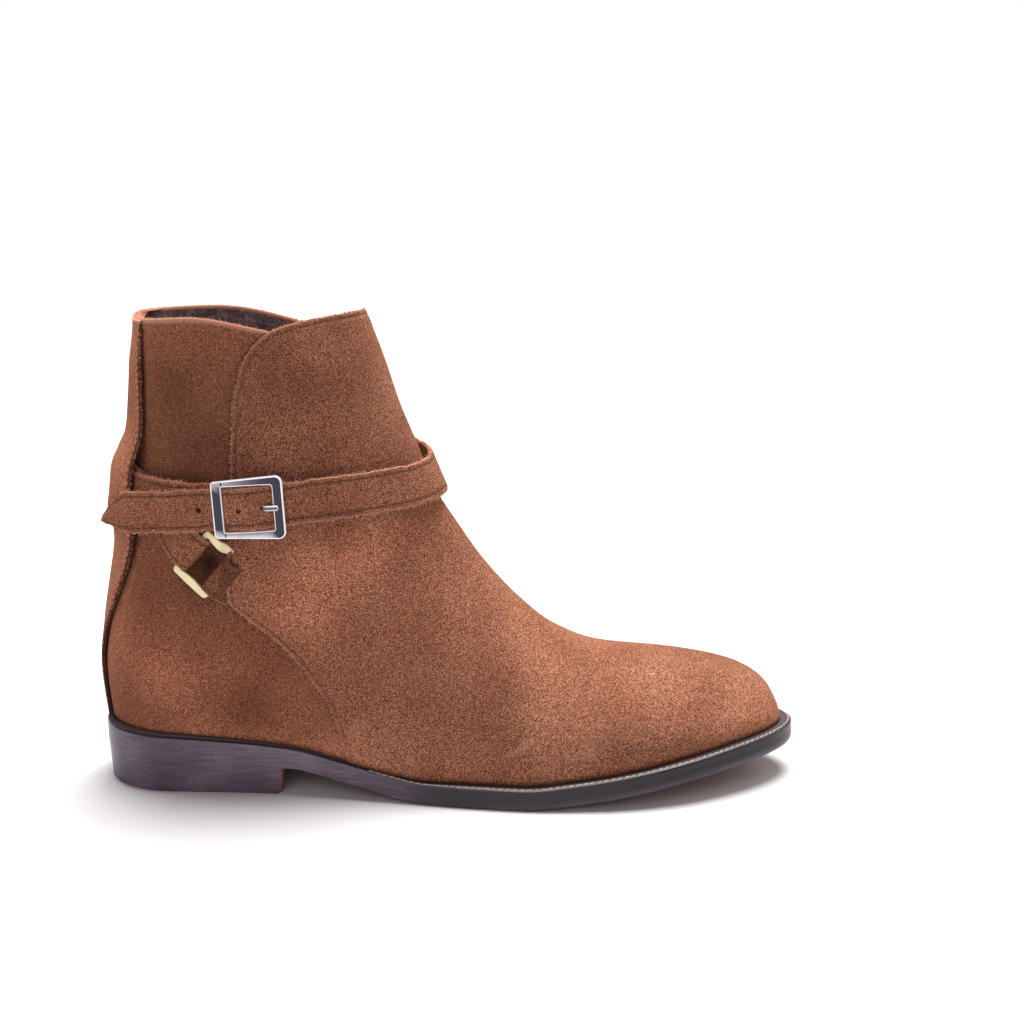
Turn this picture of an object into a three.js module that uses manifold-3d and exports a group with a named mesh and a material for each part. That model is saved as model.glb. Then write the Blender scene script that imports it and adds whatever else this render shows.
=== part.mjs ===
// Jodhpur ankle boot, right foot: suede upper with a curved front flap, back strip,
// two wrapped straps with rings and a buckle, on a welted sole with a block heel.
// Millimetres, +X to the toe, +Y to the inner side of the foot, +Z up.
// Origin at the centre of the heel's bottom face.
import * as THREE from "three";
import Module from "manifold-3d";

const wasm = await Module();
wasm.setup();

// Driving sizes
const SOLE_LENGTH = 300;
const BALL_WIDTH = 104;
const TOE_ROUND = 66;
const HEEL_ROUND = 34;
const HEEL_LENGTH = 82;
const HEEL_HEIGHT = 17;
const HEEL_FLARE = 1.2;
const TOE_SPRING = 13.8;
const OUTSOLE_THICKNESS = 5.4;
const WELT_THICKNESS = 3.0;
const WELT_BEARING = 3.6;
const EDGE_ROUND = 0.9;
const INSOLE_THICKNESS = 3;
const COLLAR_HEIGHT = 200.5;
const COLLAR_DIP = 11;
const INSTEP_HEIGHT = 100;
const SHAFT_WIDTH = 72;
const WALL = 2.2;
const FLAP_PROUD = 1.3;
const FLAP_ROOT = 0.9;
const FLAP_HEIGHT = 201.5;
const HEEL_LEDGE = 2.4;
const TOE_LEDGE = 6.2;
const STRIP_THICKNESS = 1.9;
const STRIP_WIDTH = 46;
const STRAP_WIDTH = 17.6;
const LOOP_WIDTH_EASE = 1.2;
const STRAP_THICKNESS = 2.0;
const STRAP_POINT = 12;
const RING_LENGTH = 18.5;
const RING_WIRE = 2.5;
const RING_DEPTH = 2.2;
const TAB_LENGTH = 10;
const BUCKLE_LENGTH = 29;
const BUCKLE_RAIL = 2.3;
const BUCKLE_FLARE = 2.6;
const BUCKLE_BAR = 4.2;
const BUCKLE_THICKNESS = 1.9;
const PRONG_WIDTH = 2.2;
const PRONG_HOLE = { along: 7.0, half: 3.3, wide: 3.6 };
const SLOT = { back: 5.1, ahead: 4.6, wide: 4.1 };
const GAP = 0.3;

// Fittings that take the strap between their bars
const RING_WIDTH = STRAP_WIDTH + 2 * (RING_WIRE + GAP);
const BUCKLE_INSIDE = STRAP_WIDTH + 4 * GAP;
const BUCKLE_WIDTH = BUCKLE_INSIDE + 2 * BUCKLE_RAIL;

// Outline of the sole from above. along is a share of the length; outer, inner and
// swing (the centre line's shift to the inner side) are shares of the ball width.
const OUTLINE = [
  { along: 0.0, outer: 0.325, inner: 0.325, swing: 0.0 },
  { along: 0.12, outer: 0.33, inner: 0.325, swing: 0.0 },
  { along: 0.27, outer: 0.345, inner: 0.31, swing: 0.0 },
  { along: 0.4, outer: 0.4, inner: 0.28, swing: 0.0 },
  { along: 0.53, outer: 0.468, inner: 0.345, swing: 0.0 },
  { along: 0.63, outer: 0.497, inner: 0.43, swing: 0.0 },
  { along: 0.72, outer: 0.487, inner: 0.475, swing: 0.005 },
  { along: 0.82, outer: 0.44, inner: 0.455, swing: 0.02 },
  { along: 0.92, outer: 0.38, inner: 0.4, swing: 0.04 },
  { along: 1.0, outer: 0.33, inner: 0.35, swing: 0.055 },
];

// Underside of the outsole from the side. heel is a share of the heel's height and
// spring a share of the toe spring; the row's height is their sum.
const UNDERSIDE = [
  { along: 0.0, heel: 1.0, spring: 0.0 },
  { along: 0.13, heel: 0.9, spring: 0.0 },
  { along: 0.273, heel: 0.72, spring: 0.0 },
  { along: 0.36, heel: 0.4, spring: 0.0 },
  { along: 0.42, heel: 0.15, spring: 0.0 },
  { along: 0.475, heel: 0.0, spring: 0.0 },
  { along: 0.61, heel: 0.0, spring: 0.0 },
  { along: 0.685, heel: 0.0, spring: 0.17 },
  { along: 0.76, heel: 0.0, spring: 0.4 },
  { along: 0.84, heel: 0.0, spring: 0.66 },
  { along: 0.92, heel: 0.0, spring: 0.87 },
  { along: 1.0, heel: 0.0, spring: 1.0 },
];

// Front line of the upper from the toe tip to the throat of the instep. along is a
// share of the length, rise a share of the instep height above the welt.
const VAMP_LINE = [
  { along: 0.9793, rise: 0.0 },
  { along: 0.976, rise: 0.048 },
  { along: 0.971, rise: 0.085 },
  { along: 0.962, rise: 0.138 },
  { along: 0.947, rise: 0.19 },
  { along: 0.918, rise: 0.245 },
  { along: 0.886, rise: 0.283 },
  { along: 0.81, rise: 0.35 },
  { along: 0.716, rise: 0.425 },
  { along: 0.648, rise: 0.532 },
  { along: 0.598, rise: 0.672 },
  { along: 0.547, rise: 0.836 },
  { along: 0.51, rise: 1.0 },
];

// Front and back lines of the shaft. up is a share of the collar's height, front and
// back are shares of the length, wide a share of the shaft's width.
const SHAFT = [
  { up: 0.0, front: 0.6, back: 0.022, wide: 0.95 },
  { up: 0.15, front: 0.58, back: 0.008, wide: 0.95 },
  { up: 0.25, front: 0.56, back: 0.004, wide: 0.95 },
  { up: 0.34, front: 0.54, back: 0.01, wide: 0.93 },
  { up: 0.44, front: 0.528, back: 0.021, wide: 0.9 },
  { up: 0.53, front: 0.512, back: 0.033, wide: 0.88 },
  { up: 0.62, front: 0.478, back: 0.044, wide: 0.87 },
  { up: 0.72, front: 0.452, back: 0.052, wide: 0.89 },
  { up: 0.8, front: 0.43, back: 0.058, wide: 0.92 },
  { up: 0.9, front: 0.408, back: 0.064, wide: 0.97 },
  { up: 1.0, front: 0.383, back: 0.067, wide: 1.0 },
  { up: 1.1, front: 0.358, back: 0.068, wide: 1.02 },
];

// How full the foot's cross section is along the shoe: a larger number is boxier.
// ridge is the top line's shift to the inner side, a share of the ball width.
const FULLNESS = [
  { along: 0.0, power: 1.7, ridge: 0.0 },
  { along: 0.36, power: 1.55, ridge: 0.0 },
  { along: 0.5, power: 1.6, ridge: 0.03 },
  { along: 0.63, power: 1.72, ridge: 0.05 },
  { along: 0.75, power: 1.9, ridge: 0.045 },
  { along: 0.87, power: 2.1, ridge: 0.05 },
  { along: 1.0, power: 2.2, ridge: 0.06 },
];

// Rear edge of the front flap, from the welt to the collar, on both sides.
const FLAP_EDGE = [
  { along: 0.372, up: 0.030 },
  { along: 0.362, up: 0.099 },
  { along: 0.350, up: 0.159 },
  { along: 0.331, up: 0.218 },
  { along: 0.310, up: 0.263 },
  { along: 0.287, up: 0.303 },
  { along: 0.256, up: 0.344 },
  { along: 0.224, up: 0.380 },
  { along: 0.206, up: 0.408 },
  { along: 0.207, up: 0.437 },
  { along: 0.210, up: 0.496 },
  { along: 0.211, up: 0.596 },
  { along: 0.212, up: 0.680 },
  { along: 0.216, up: 0.759 },
  { along: 0.220, up: 0.824 },
  { along: 0.228, up: 0.873 },
  { along: 0.238, up: 0.913 },
  { along: 0.255, up: 0.945 },
  { along: 0.273, up: 0.966 },
  { along: 0.293, up: 0.977 },
  { along: 0.323, up: 0.987 },
  { along: 0.357, up: 0.994 },
  { along: 0.397, up: 1.000 },
  { along: 0.450, up: 1.007 },
];

// Back strip. up runs from the welt (0) to the collar (1), half is a share of its
// full half width, lift is the room under it in strap layers.
const BACK_STRIP = [
  { up: 0, half: 0.28, lift: 0 },
  { up: 0.1, half: 0.28, lift: 0 },
  { up: 0.2, half: 0.46, lift: 0 },
  { up: 0.3, half: 0.78, lift: 0 },
  { up: 0.38, half: 0.92, lift: 0 },
  { up: 0.43, half: 0.96, lift: 0.15 },
  { up: 0.47, half: 0.98, lift: 0.7 },
  { up: 0.505, half: 1, lift: 1.8 },
  { up: 0.53, half: 1, lift: 2.35 },
  { up: 0.615, half: 1, lift: 2.35 },
  { up: 0.641, half: 1, lift: 2.1 },
  { up: 0.667, half: 1, lift: 1.4 },
  { up: 0.69, half: 1, lift: 0.8 },
  { up: 0.713, half: 1, lift: 0.2 },
  { up: 0.75, half: 1, lift: 0 },
  { up: 1, half: 0.98, lift: 0 },
];

// Courses of the straps round the shaft. turn is in half turns from the back, to the
// inner side; up is a share of the collar's height; layers is the room under the strap.
const LONG_STRAP = [
  { turn: -0.339, up: 0.523, layers: 1.95 },
  { turn: -0.328, up: 0.534, layers: 1.05 },
  { turn: -0.315, up: 0.547, layers: 0.35 },
  { turn: -0.3, up: 0.563, layers: 0.1 },
  { turn: -0.25, up: 0.602, layers: 0 },
  { turn: -0.2, up: 0.625, layers: 0 },
  { turn: -0.126, up: 0.645, layers: 0 },
  { turn: 0, up: 0.660, layers: 0 },
  { turn: 0.15, up: 0.675, layers: 0 },
  { turn: 0.35, up: 0.688, layers: 0.3 },
  { turn: 0.6, up: 0.690, layers: 0.5 },
  { turn: 0.85, up: 0.680, layers: 1.4 },
  { turn: 1, up: 0.665, layers: 2.2 },
  { turn: 1.14, up: 0.648, layers: 1.8 },
  { turn: 1.3, up: 0.636, layers: 1.3 },
  { turn: 1.4, up: 0.631, layers: 1.6 },
  { turn: 1.465, up: 0.626, layers: 2.1 },
  { turn: 1.53, up: 0.620, layers: 3.3 },
  { turn: 1.57, up: 0.617, layers: 2.7 },
  { turn: 1.605, up: 0.615, layers: 2.7 },
  { turn: 1.645, up: 0.612, layers: 3.2 },
  { turn: 1.69, up: 0.607, layers: 3.2 },
  { turn: 1.735, up: 0.602, layers: 2.75 },
  { turn: 1.775, up: 0.597, layers: 3.35 },
  { turn: 1.81, up: 0.592, layers: 3.6 },
  { turn: 1.85, up: 0.585, layers: 3.6 },
  { turn: 1.9, up: 0.574, layers: 3.65 },
  { turn: 1.935, up: 0.563, layers: 3.8 },
];
const BUCKLE_STRAP = [
  { turn: 0.339, up: 0.523, layers: 1.95 },
  { turn: 0.324, up: 0.538, layers: 1.6 },
  { turn: 0.305, up: 0.557, layers: 1.3 },
  { turn: 0.262, up: 0.588, layers: 1.1 },
  { turn: 0.2, up: 0.615, layers: 1.05 },
  { turn: 0.126, up: 0.630, layers: 1.05 },
  { turn: 0, up: 0.636, layers: 1.05 },
  { turn: -0.126, up: 0.634, layers: 1.05 },
  { turn: -0.22, up: 0.629, layers: 1.1 },
  { turn: -0.285, up: 0.625, layers: 1.6 },
  { turn: -0.315, up: 0.625, layers: 2.1 },
  { turn: -0.35, up: 0.625, layers: 2.2 },
  { turn: -0.375, up: 0.623, layers: 1.5 },
  { turn: -0.4, up: 0.621, layers: 1.1 },
  { turn: -0.435, up: 0.620, layers: 1.6 },
  { turn: -0.465, up: 0.620, layers: 2.1 },
];
const BUCKLE_TURN = -0.47;
const BUCKLE_UP = 0.62;
const BUCKLE_TILT = 0.35;
const RING_TURN = 0.366;
const RING_UP = 0.495;
const RING_LEAN = { turn: 0.024, up: 0.0255 };

// Powers of the round ends: 2 is an ellipse and a larger number is squarer.
const HEEL_POWER = 2.1;
const TOE_POWER = 2;
const SHAFT_FRONT_POWER = 1.75;
const SHAFT_BACK_POWER = 2.1;

// The side view's blend from the foot's form to the shaft's, as shares of the collar's height
const SHAFT_BLEND_LOW = 0.22;
const SHAFT_BLEND_HIGH = 0.6;
const SHAFT_MIDDLE = 0.46;
const BELLY = 0.03;
const THROAT_CLEAR = 0.03;

// Where the ledge round the upper widens from the heel to the toe, as shares of the length
const LEDGE_START = 0.3;
const LEDGE_RUN = 0.28;

// The upper's rings: how they crowd up the front line, how fast they lose the sole's
// rise and fall, and where the collar's dip starts and how far it runs.
const RING_CROWD = 1.15;
const RING_SETTLE = 2.2;
const DIP_START = 0.25;
const DIP_RUN = 0.7;

// Colours
const SUEDE = { color: 0x8a5233, roughness: 0.95, metalness: 0 };
const SUEDE_DARK = { color: 0x7a452b, roughness: 0.95, metalness: 0 };
const EDGE_INK = { color: 0x3b2a2e, roughness: 0.45, metalness: 0 };
const LINING = { color: 0x5a4b40, roughness: 0.85, metalness: 0 };
const CHROME = { color: 0xd6d8dc, roughness: 0.15, metalness: 1 };
const BRASS = { color: 0xcabf8c, roughness: 0.35, metalness: 1 };

// Small maths
const clamp = (value, low, high) => Math.min(high, Math.max(low, value));
const mix = (a, b, t) => a + (b - a) * t;
const smooth = (t) => {
  const c = clamp(t, 0, 1);
  return c * c * (3 - 2 * c);
};
const vec = (x, y, z) => new THREE.Vector3(x, y, z);

// A round end: 0 at the tip, 1 at full width.
function roundEnd(t, power) {
  const c = clamp(t, 0, 1);
  return Math.pow(1 - Math.pow(1 - c, power), 1 / power);
}

// Smooth monotone curve through one column of a table.
function curve(rows, key, column) {
  const x = rows.map((row) => row[key]);
  const y = rows.map((row) => row[column]);
  const steps = x.slice(1).map((right, i) => right - x[i]);
  const slopes = steps.map((step, i) => (y[i + 1] - y[i]) / step);
  const bends = x.map((_, i) => {
    if (i === 0) return slopes[0];
    if (i === x.length - 1) return slopes[i - 1];
    if (slopes[i - 1] * slopes[i] <= 0) return 0;
    const left = 2 * steps[i] + steps[i - 1];
    const right = steps[i] + 2 * steps[i - 1];
    return (left + right) / (left / slopes[i - 1] + right / slopes[i]);
  });
  return (at) => {
    const c = clamp(at, x[0], x[x.length - 1]);
    let i = 0;
    while (i < steps.length - 1 && c > x[i + 1]) i += 1;
    const t = (c - x[i]) / steps[i];
    const t2 = t * t;
    const t3 = t2 * t;
    return (
      (2 * t3 - 3 * t2 + 1) * y[i] +
      (t3 - 2 * t2 + t) * steps[i] * bends[i] +
      (3 * t2 - 2 * t3) * y[i + 1] +
      (t3 - t2) * steps[i] * bends[i + 1]
    );
  };
}

// The sole's lines
const outerShare = curve(OUTLINE, "along", "outer");
const innerShare = curve(OUTLINE, "along", "inner");
const swingShare = curve(OUTLINE, "along", "swing");
const heelShare = curve(UNDERSIDE, "along", "heel");
const springShare = curve(UNDERSIDE, "along", "spring");
const undersideAt = (s) => {
  const along = s / SOLE_LENGTH;
  return heelShare(along) * HEEL_HEIGHT + springShare(along) * TOE_SPRING;
};
const outsoleTop = (s) => undersideAt(s) + OUTSOLE_THICKNESS;
const weltTop = (s) => outsoleTop(s) + GAP + WELT_THICKNESS;
const feather = (s) => weltTop(s) + GAP;

function outlineAt(s, side) {
  const along = s / SOLE_LENGTH;
  const share = side < 0 ? outerShare(along) : innerShare(along);
  const ends = roundEnd(s / HEEL_ROUND, HEEL_POWER) * roundEnd((SOLE_LENGTH - s) / TOE_ROUND, TOE_POWER);
  return swingShare(along) * BALL_WIDTH + side * share * BALL_WIDTH * ends;
}

// Stations along the shoe, closer together at its round ends.
const station = (i, count) => (1 - Math.cos((Math.PI * i) / count)) / 2;

// A closed outline of 2 * count points, moved in by a distance that may vary.
function outlineLoop(count, inset) {
  const points = [];
  for (let i = 0; i < 2 * count; i += 1) {
    const side = i <= count ? -1 : 1;
    const s = SOLE_LENGTH * station(i <= count ? i : 2 * count - i, count);
    points.push(new THREE.Vector2(s, outlineAt(s, side)));
  }
  return points.map((point, i) => {
    const before = points[(i + points.length - 1) % points.length];
    const after = points[(i + 1) % points.length];
    const run = after.clone().sub(before).normalize();
    const inward = new THREE.Vector2(-run.y, run.x);
    return point.clone().addScaledVector(inward, inset(point.x));
  });
}

const ledgeAt = (s) => mix(HEEL_LEDGE, TOE_LEDGE, smooth((s / SOLE_LENGTH - LEDGE_START) / LEDGE_RUN));

// The upper's front line, as a dense list of points from the toe to above the collar.
const shaftBack = curve(SHAFT, "up", "back");
const shaftWide = curve(SHAFT, "up", "wide");

function frontLine() {
  const rows = VAMP_LINE.map((row) => {
    const s = row.along * SOLE_LENGTH;
    return { s, z: feather(s) + row.rise * INSTEP_HEIGHT };
  });
  const throatUp = rows[rows.length - 1].z / COLLAR_HEIGHT;
  SHAFT.filter((row) => row.up > throatUp + THROAT_CLEAR).forEach((row) => {
    rows.push({ s: row.front * SOLE_LENGTH, z: row.up * COLLAR_HEIGHT });
  });
  rows[0].run = 0;
  for (let i = 1; i < rows.length; i += 1) {
    const step = Math.hypot(rows[i].s - rows[i - 1].s, rows[i].z - rows[i - 1].z);
    rows[i].run = rows[i - 1].run + step;
  }
  const along = curve(rows, "run", "s");
  const height = curve(rows, "run", "z");
  const count = 400;
  const total = rows[rows.length - 1].run;
  return Array.from({ length: count + 1 }, (_, i) => {
    const run = (total * i) / count;
    return { run, s: along(run), z: height(run) };
  });
}
const FRONT = frontLine();

// Looks up the front line: value of `column` where `key` reaches `at`.
function onFront(key, at, column) {
  const rising = FRONT[FRONT.length - 1][key] > FRONT[0][key];
  const first = FRONT[0];
  const last = FRONT[FRONT.length - 1];
  if (rising ? at <= first[key] : at >= first[key]) return first[column];
  if (rising ? at >= last[key] : at <= last[key]) return last[column];
  let low = 0;
  let high = FRONT.length - 1;
  while (high - low > 1) {
    const middle = (low + high) >> 1;
    const before = rising ? FRONT[middle][key] <= at : FRONT[middle][key] >= at;
    if (before) low = middle;
    else high = middle;
  }
  const t = (at - FRONT[low][key]) / (FRONT[high][key] - FRONT[low][key]);
  return mix(FRONT[low][column], FRONT[high][column], t);
}
const frontAt = (z) => onFront("z", z, "s");
const frontHeight = (s) => onFront("s", s, "z");
const backAt = (z) => shaftBack(z / COLLAR_HEIGHT) * SOLE_LENGTH;

const powerAt = curve(FULLNESS, "along", "power");
const ridgeAt = curve(FULLNESS, "along", "ridge");

// The upper's outer face: the place across the foot at a point of the side view.
function faceAt(s, z, side) {
  const along = clamp(s / SOLE_LENGTH, 0, 1);
  const low = feather(s);
  const high = frontHeight(s);
  const climb = clamp((z - low) / Math.max(high - low, 1e-6), 0, 1);
  const back = backAt(z);
  const share = side < 0 ? outerShare(along) : innerShare(along);
  const belly = 1 + BELLY * Math.sin(Math.PI * clamp(climb * 2, 0, 1));
  const wide = (share * BALL_WIDTH - ledgeAt(s)) * belly;
  const tip = VAMP_LINE[0].along * SOLE_LENGTH;
  const power = powerAt(along);
  const overTop = Math.pow(1 - Math.pow(climb, power), 1 / power);
  const ends = roundEnd((s - back) / HEEL_ROUND, HEEL_POWER) * roundEnd((tip - s) / TOE_ROUND, TOE_POWER);
  const foot = wide * ends * overTop;
  const front = frontAt(z);
  const middle = mix(back, front, SHAFT_MIDDLE);
  const shaftEnds =
    s > middle
      ? roundEnd((front - s) / (front - middle), SHAFT_FRONT_POWER)
      : roundEnd((s - back) / (middle - back), SHAFT_BACK_POWER);
  const shaft = (shaftWide(z / COLLAR_HEIGHT) * SHAFT_WIDTH * shaftEnds) / 2;
  const risen = (z / COLLAR_HEIGHT - SHAFT_BLEND_LOW) / (SHAFT_BLEND_HIGH - SHAFT_BLEND_LOW);
  const blend = smooth(risen);
  const centre =
    swingShare(along) * BALL_WIDTH * (1 - blend) * (1 - climb) +
    ridgeAt(along) * BALL_WIDTH * climb * (1 - blend);
  return centre + side * mix(foot, shaft, blend);
}

// One ring of the upper, a closed loop of 2 * count points, at a share of its height.
function upperRing(share, count, top) {
  const topRun = onFront("z", top.front, "run");
  const frontRun = topRun * Math.pow(share, RING_CROWD);
  const frontS = onFront("run", frontRun, "s");
  const frontZ = onFront("run", frontRun, "z");
  const backFoot = backAt(feather(0));
  const backZ = mix(feather(backFoot), top.back, share);
  const backS = backAt(backZ);
  const settle = Math.pow(1 - share, RING_SETTLE);
  const points = [];
  for (let i = 0; i < 2 * count; i += 1) {
    const side = i <= count ? -1 : 1;
    const t = station(i <= count ? i : 2 * count - i, count);
    const s = mix(backS, frontS, t);
    const footS = mix(backFoot, VAMP_LINE[0].along * SOLE_LENGTH, t);
    const straight = mix(feather(backFoot), FRONT[0].z, t);
    const dip = top.dip * share * (t - smooth((t - DIP_START) / DIP_RUN));
    const z = mix(backZ, frontZ, t) + (feather(footS) - straight) * settle + dip;
    points.push(vec(s, faceAt(s, z, side), z));
  }
  return points;
}

// Outward normals of a stack of rings, from the neighbours of each point.
function ringNormals(rings) {
  const count = rings[0].length;
  return rings.map((ring, j) =>
    ring.map((_, i) => {
      const round = ring[(i + 1) % count].clone().sub(ring[(i + count - 1) % count]);
      const above = rings[Math.min(j + 1, rings.length - 1)][i];
      const below = rings[Math.max(j - 1, 0)][i];
      const normal = round.cross(above.clone().sub(below));
      if (j === 0) normal.z = 0;
      return normal.normalize();
    }),
  );
}

// Wall between two offsets of the upper's face.
function shell(rings, outside, inside) {
  const normals = ringNormals(rings);
  const moved = (ring, j, distance) =>
    ring.map((point, i) => point.clone().addScaledVector(normals[j][i], distance));
  const move = (distance) => rings.map((ring, j) => moved(ring, j, distance));
  return loft([...move(outside), ...move(inside).reverse()], { joined: true });
}

// Triangles between closed loops of equal length, with flat ends or joined in a tube.
// Ends pair point i with point -i (shift 0) or with point -1 - i (shift 1).
function loft(loops, { joined = false, shift = 0 } = {}) {
  const size = loops[0].length;
  const positions = loops.flat().flatMap((point) => [point.x, point.y, point.z]);
  const faces = [];
  const spans = joined ? loops.length : loops.length - 1;
  for (let j = 0; j < spans; j += 1) {
    const low = j * size;
    const high = ((j + 1) % loops.length) * size;
    for (let i = 0; i < size; i += 1) {
      const next = (i + 1) % size;
      faces.push([low + i, low + next, high + next], [low + i, high + next, high + i]);
    }
  }
  if (!joined) {
    [0, loops.length - 1].forEach((j) => {
      const start = j * size;
      const mate = (i) => start + ((2 * size - shift - i) % size);
      for (let i = 0; i + 1 <= size - shift - i - 1; i += 1) {
        const quad = [
          [start + i, mate(i), mate(i + 1)],
          [start + i, mate(i + 1), start + i + 1],
        ];
        quad.forEach(([a, b, c]) => {
          if (a === b || b === c || a === c) return;
          faces.push(j === 0 ? [a, b, c] : [a, c, b]);
        });
      }
    });
  }
  const geometry = new THREE.BufferGeometry();
  geometry.setAttribute("position", new THREE.Float32BufferAttribute(positions, 3));
  geometry.setIndex(faces.flat());
  return outward(geometry);
}

// Turns a closed geometry's faces outward if they point in.
function outward(geometry) {
  const position = geometry.getAttribute("position");
  const index = Array.from(geometry.getIndex().array);
  const corner = (i) => new THREE.Vector3().fromBufferAttribute(position, index[i]);
  let volume = 0;
  for (let i = 0; i < index.length; i += 3) {
    volume += corner(i).dot(corner(i + 1).cross(corner(i + 2)));
  }
  if (volume < 0) {
    for (let i = 0; i < index.length; i += 3) {
      [index[i + 1], index[i + 2]] = [index[i + 2], index[i + 1]];
    }
    geometry.setIndex(index);
  }
  return geometry;
}

// Corners nearer than this are one corner after a cut or join.
const MERGE_LENGTH = 0.004;
const SLIVER_HEIGHT = 0.0005;

function solid(geometry) {
  return new wasm.Manifold(
    new wasm.Mesh({
      numProp: 3,
      tolerance: MERGE_LENGTH,
      vertProperties: Float32Array.from(geometry.getAttribute("position").array),
      triVerts: Uint32Array.from(geometry.getIndex().array),
    }),
  );
}

function geometryOf(manifold) {
  const mesh = manifold.getMesh();
  const geometry = new THREE.BufferGeometry();
  const positions = Float32Array.from(mesh.vertProperties);
  geometry.setAttribute("position", new THREE.BufferAttribute(positions, 3));
  geometry.setIndex(withoutSlivers(positions, Array.from(mesh.triVerts)));
  return geometry;
}

// Turns the long edge of each flat sliver, so that every face keeps a real area.
function withoutSlivers(positions, index) {
  const place = (i) => vec(positions[3 * i], positions[3 * i + 1], positions[3 * i + 2]);
  const owner = new Map();
  const claim = (face) => {
    [0, 1, 2].forEach((k) => {
      owner.set(`${index[face + k]} ${index[face + ((k + 1) % 3)]}`, face);
    });
  };
  for (let face = 0; face < index.length; face += 3) claim(face);
  for (let face = 0; face < index.length; face += 3) {
    const corners = [0, 1, 2].map((k) => index[face + k]);
    const lengths = [0, 1, 2].map((k) => place(corners[k]).distanceTo(place(corners[(k + 1) % 3])));
    const longest = lengths.indexOf(Math.max(...lengths));
    const [a, b, c] = [0, 1, 2].map((k) => corners[(longest + k) % 3]);
    const area = place(b).sub(place(a)).cross(place(c).sub(place(a))).length();
    const mate = owner.get(`${b} ${a}`);
    if (area / lengths[longest] > SLIVER_HEIGHT || mate === undefined) continue;
    const d = [0, 1, 2].map((k) => index[mate + k]).find((corner) => corner !== a && corner !== b);
    if (owner.has(`${c} ${d}`) || owner.has(`${d} ${c}`)) continue;
    owner.delete(`${a} ${b}`);
    owner.delete(`${b} ${a}`);
    [index[face], index[face + 1], index[face + 2]] = [a, d, c];
    [index[mate], index[mate + 1], index[mate + 2]] = [d, b, c];
    claim(face);
    claim(mate);
  }
  return index;
}

function mesh(name, geometry, finish) {
  const made = new THREE.Mesh(geometry, new THREE.MeshStandardMaterial(finish));
  made.name = name;
  return made;
}

// Sole pieces
const SOLE_COUNT = 32;

function plate(inset, bottom, top, round) {
  const tight = outlineLoop(SOLE_COUNT, (s) => inset(s) + round);
  const full = outlineLoop(SOLE_COUNT, inset);
  const level = (loop, height) =>
    loop.map((point) => vec(point.x, point.y, height(clamp(point.x, 0, SOLE_LENGTH))));
  return loft([
    level(tight, bottom),
    level(full, (s) => bottom(s) + round),
    level(full, (s) => top(s) - round / 2),
    level(tight, top),
  ]);
}

function outsole() {
  return mesh("outsole", plate(() => 0, undersideAt, outsoleTop, EDGE_ROUND), EDGE_INK);
}

function welt() {
  const level = (inset, height) =>
    outlineLoop(SOLE_COUNT, inset).map((point) => vec(point.x, point.y, height(point.x)));
  const bearing = (s) => ledgeAt(s) + WELT_BEARING;
  const bottom = (s) => outsoleTop(s) + GAP;
  const round = EDGE_ROUND / 2;
  const loops = [
    level(() => 0, bottom),
    level(() => 0, (s) => weltTop(s) - round),
    level(() => round, weltTop),
    level(bearing, weltTop),
    level(bearing, bottom),
  ];
  return mesh("welt", loft(loops, { joined: true }), EDGE_INK);
}

function insole() {
  const inset = (s) => ledgeAt(s) + WELT_BEARING + GAP;
  const level = (height) =>
    outlineLoop(SOLE_COUNT, inset).map((point) => vec(point.x, point.y, height(point.x)));
  const bottom = (s) => outsoleTop(s) + GAP;
  const top = (s) => weltTop(s) + INSOLE_THICKNESS;
  return mesh("insole", loft([level(bottom), level(top)]), LINING);
}

// The heel: the outline's rear part, drawn in a little to the floor, with a flat breast.
const HEEL_COUNT = 18;

function heel() {
  const runs = Array.from({ length: HEEL_COUNT }, (_, i) => {
    return station((i + 1) / 2, HEEL_COUNT) * 2 * HEEL_LENGTH;
  });
  const outer = runs.map((s) => new THREE.Vector2(s, outlineAt(s, -1)));
  const inner = runs.map((s) => new THREE.Vector2(s, outlineAt(s, 1)));
  const outline = [new THREE.Vector2(0, 0), ...outer, ...inner.reverse()];
  const level = (tuck, height) =>
    outline.map((point) => {
      const x = mix(point.x, HEEL_LENGTH / 2, (2 * tuck) / HEEL_LENGTH);
      return vec(x, point.y * (1 - tuck / HEEL_ROUND), height(x));
    });
  const top = (s) => undersideAt(s) - GAP;
  const loops = [
    level(HEEL_FLARE + EDGE_ROUND, () => 0),
    level(HEEL_FLARE, () => EDGE_ROUND),
    level(HEEL_FLARE / 2, (x) => top(x) / 2),
    level(0, top),
  ];
  return mesh("heel", loft(loops), EDGE_INK);
}

// The hollow upper with its flap
const UPPER_COUNT = 26;
const UPPER_RINGS = 20;
const FLAP_START = 0.004;
const FLAP_CUT_ABOVE = 4;

function upperRings(top, first) {
  return Array.from({ length: UPPER_RINGS + 1 }, (_, j) =>
    upperRing(mix(first, 1, j / UPPER_RINGS), UPPER_COUNT, top),
  );
}

// Everything in front of the flap's rear edge, right across the shoe.
function flapField(grow) {
  const far = SOLE_LENGTH + BALL_WIDTH;
  const deep = -HEEL_HEIGHT;
  const shape = new THREE.Shape();
  const edge = FLAP_EDGE.map((row) => [row.along * SOLE_LENGTH - grow, row.up * FLAP_HEIGHT]);
  shape.moveTo(far, deep);
  shape.lineTo(edge[0][0], deep);
  edge.forEach(([s, z]) => shape.lineTo(s, z));
  shape.lineTo(far, edge[edge.length - 1][1] + grow);
  const geometry = new THREE.ExtrudeGeometry(shape, { depth: 2 * BALL_WIDTH, bevelEnabled: false });
  geometry.rotateX(Math.PI / 2);
  geometry.translate(0, BALL_WIDTH, 0);
  return solid(outward(weld(geometry)));
}

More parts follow.
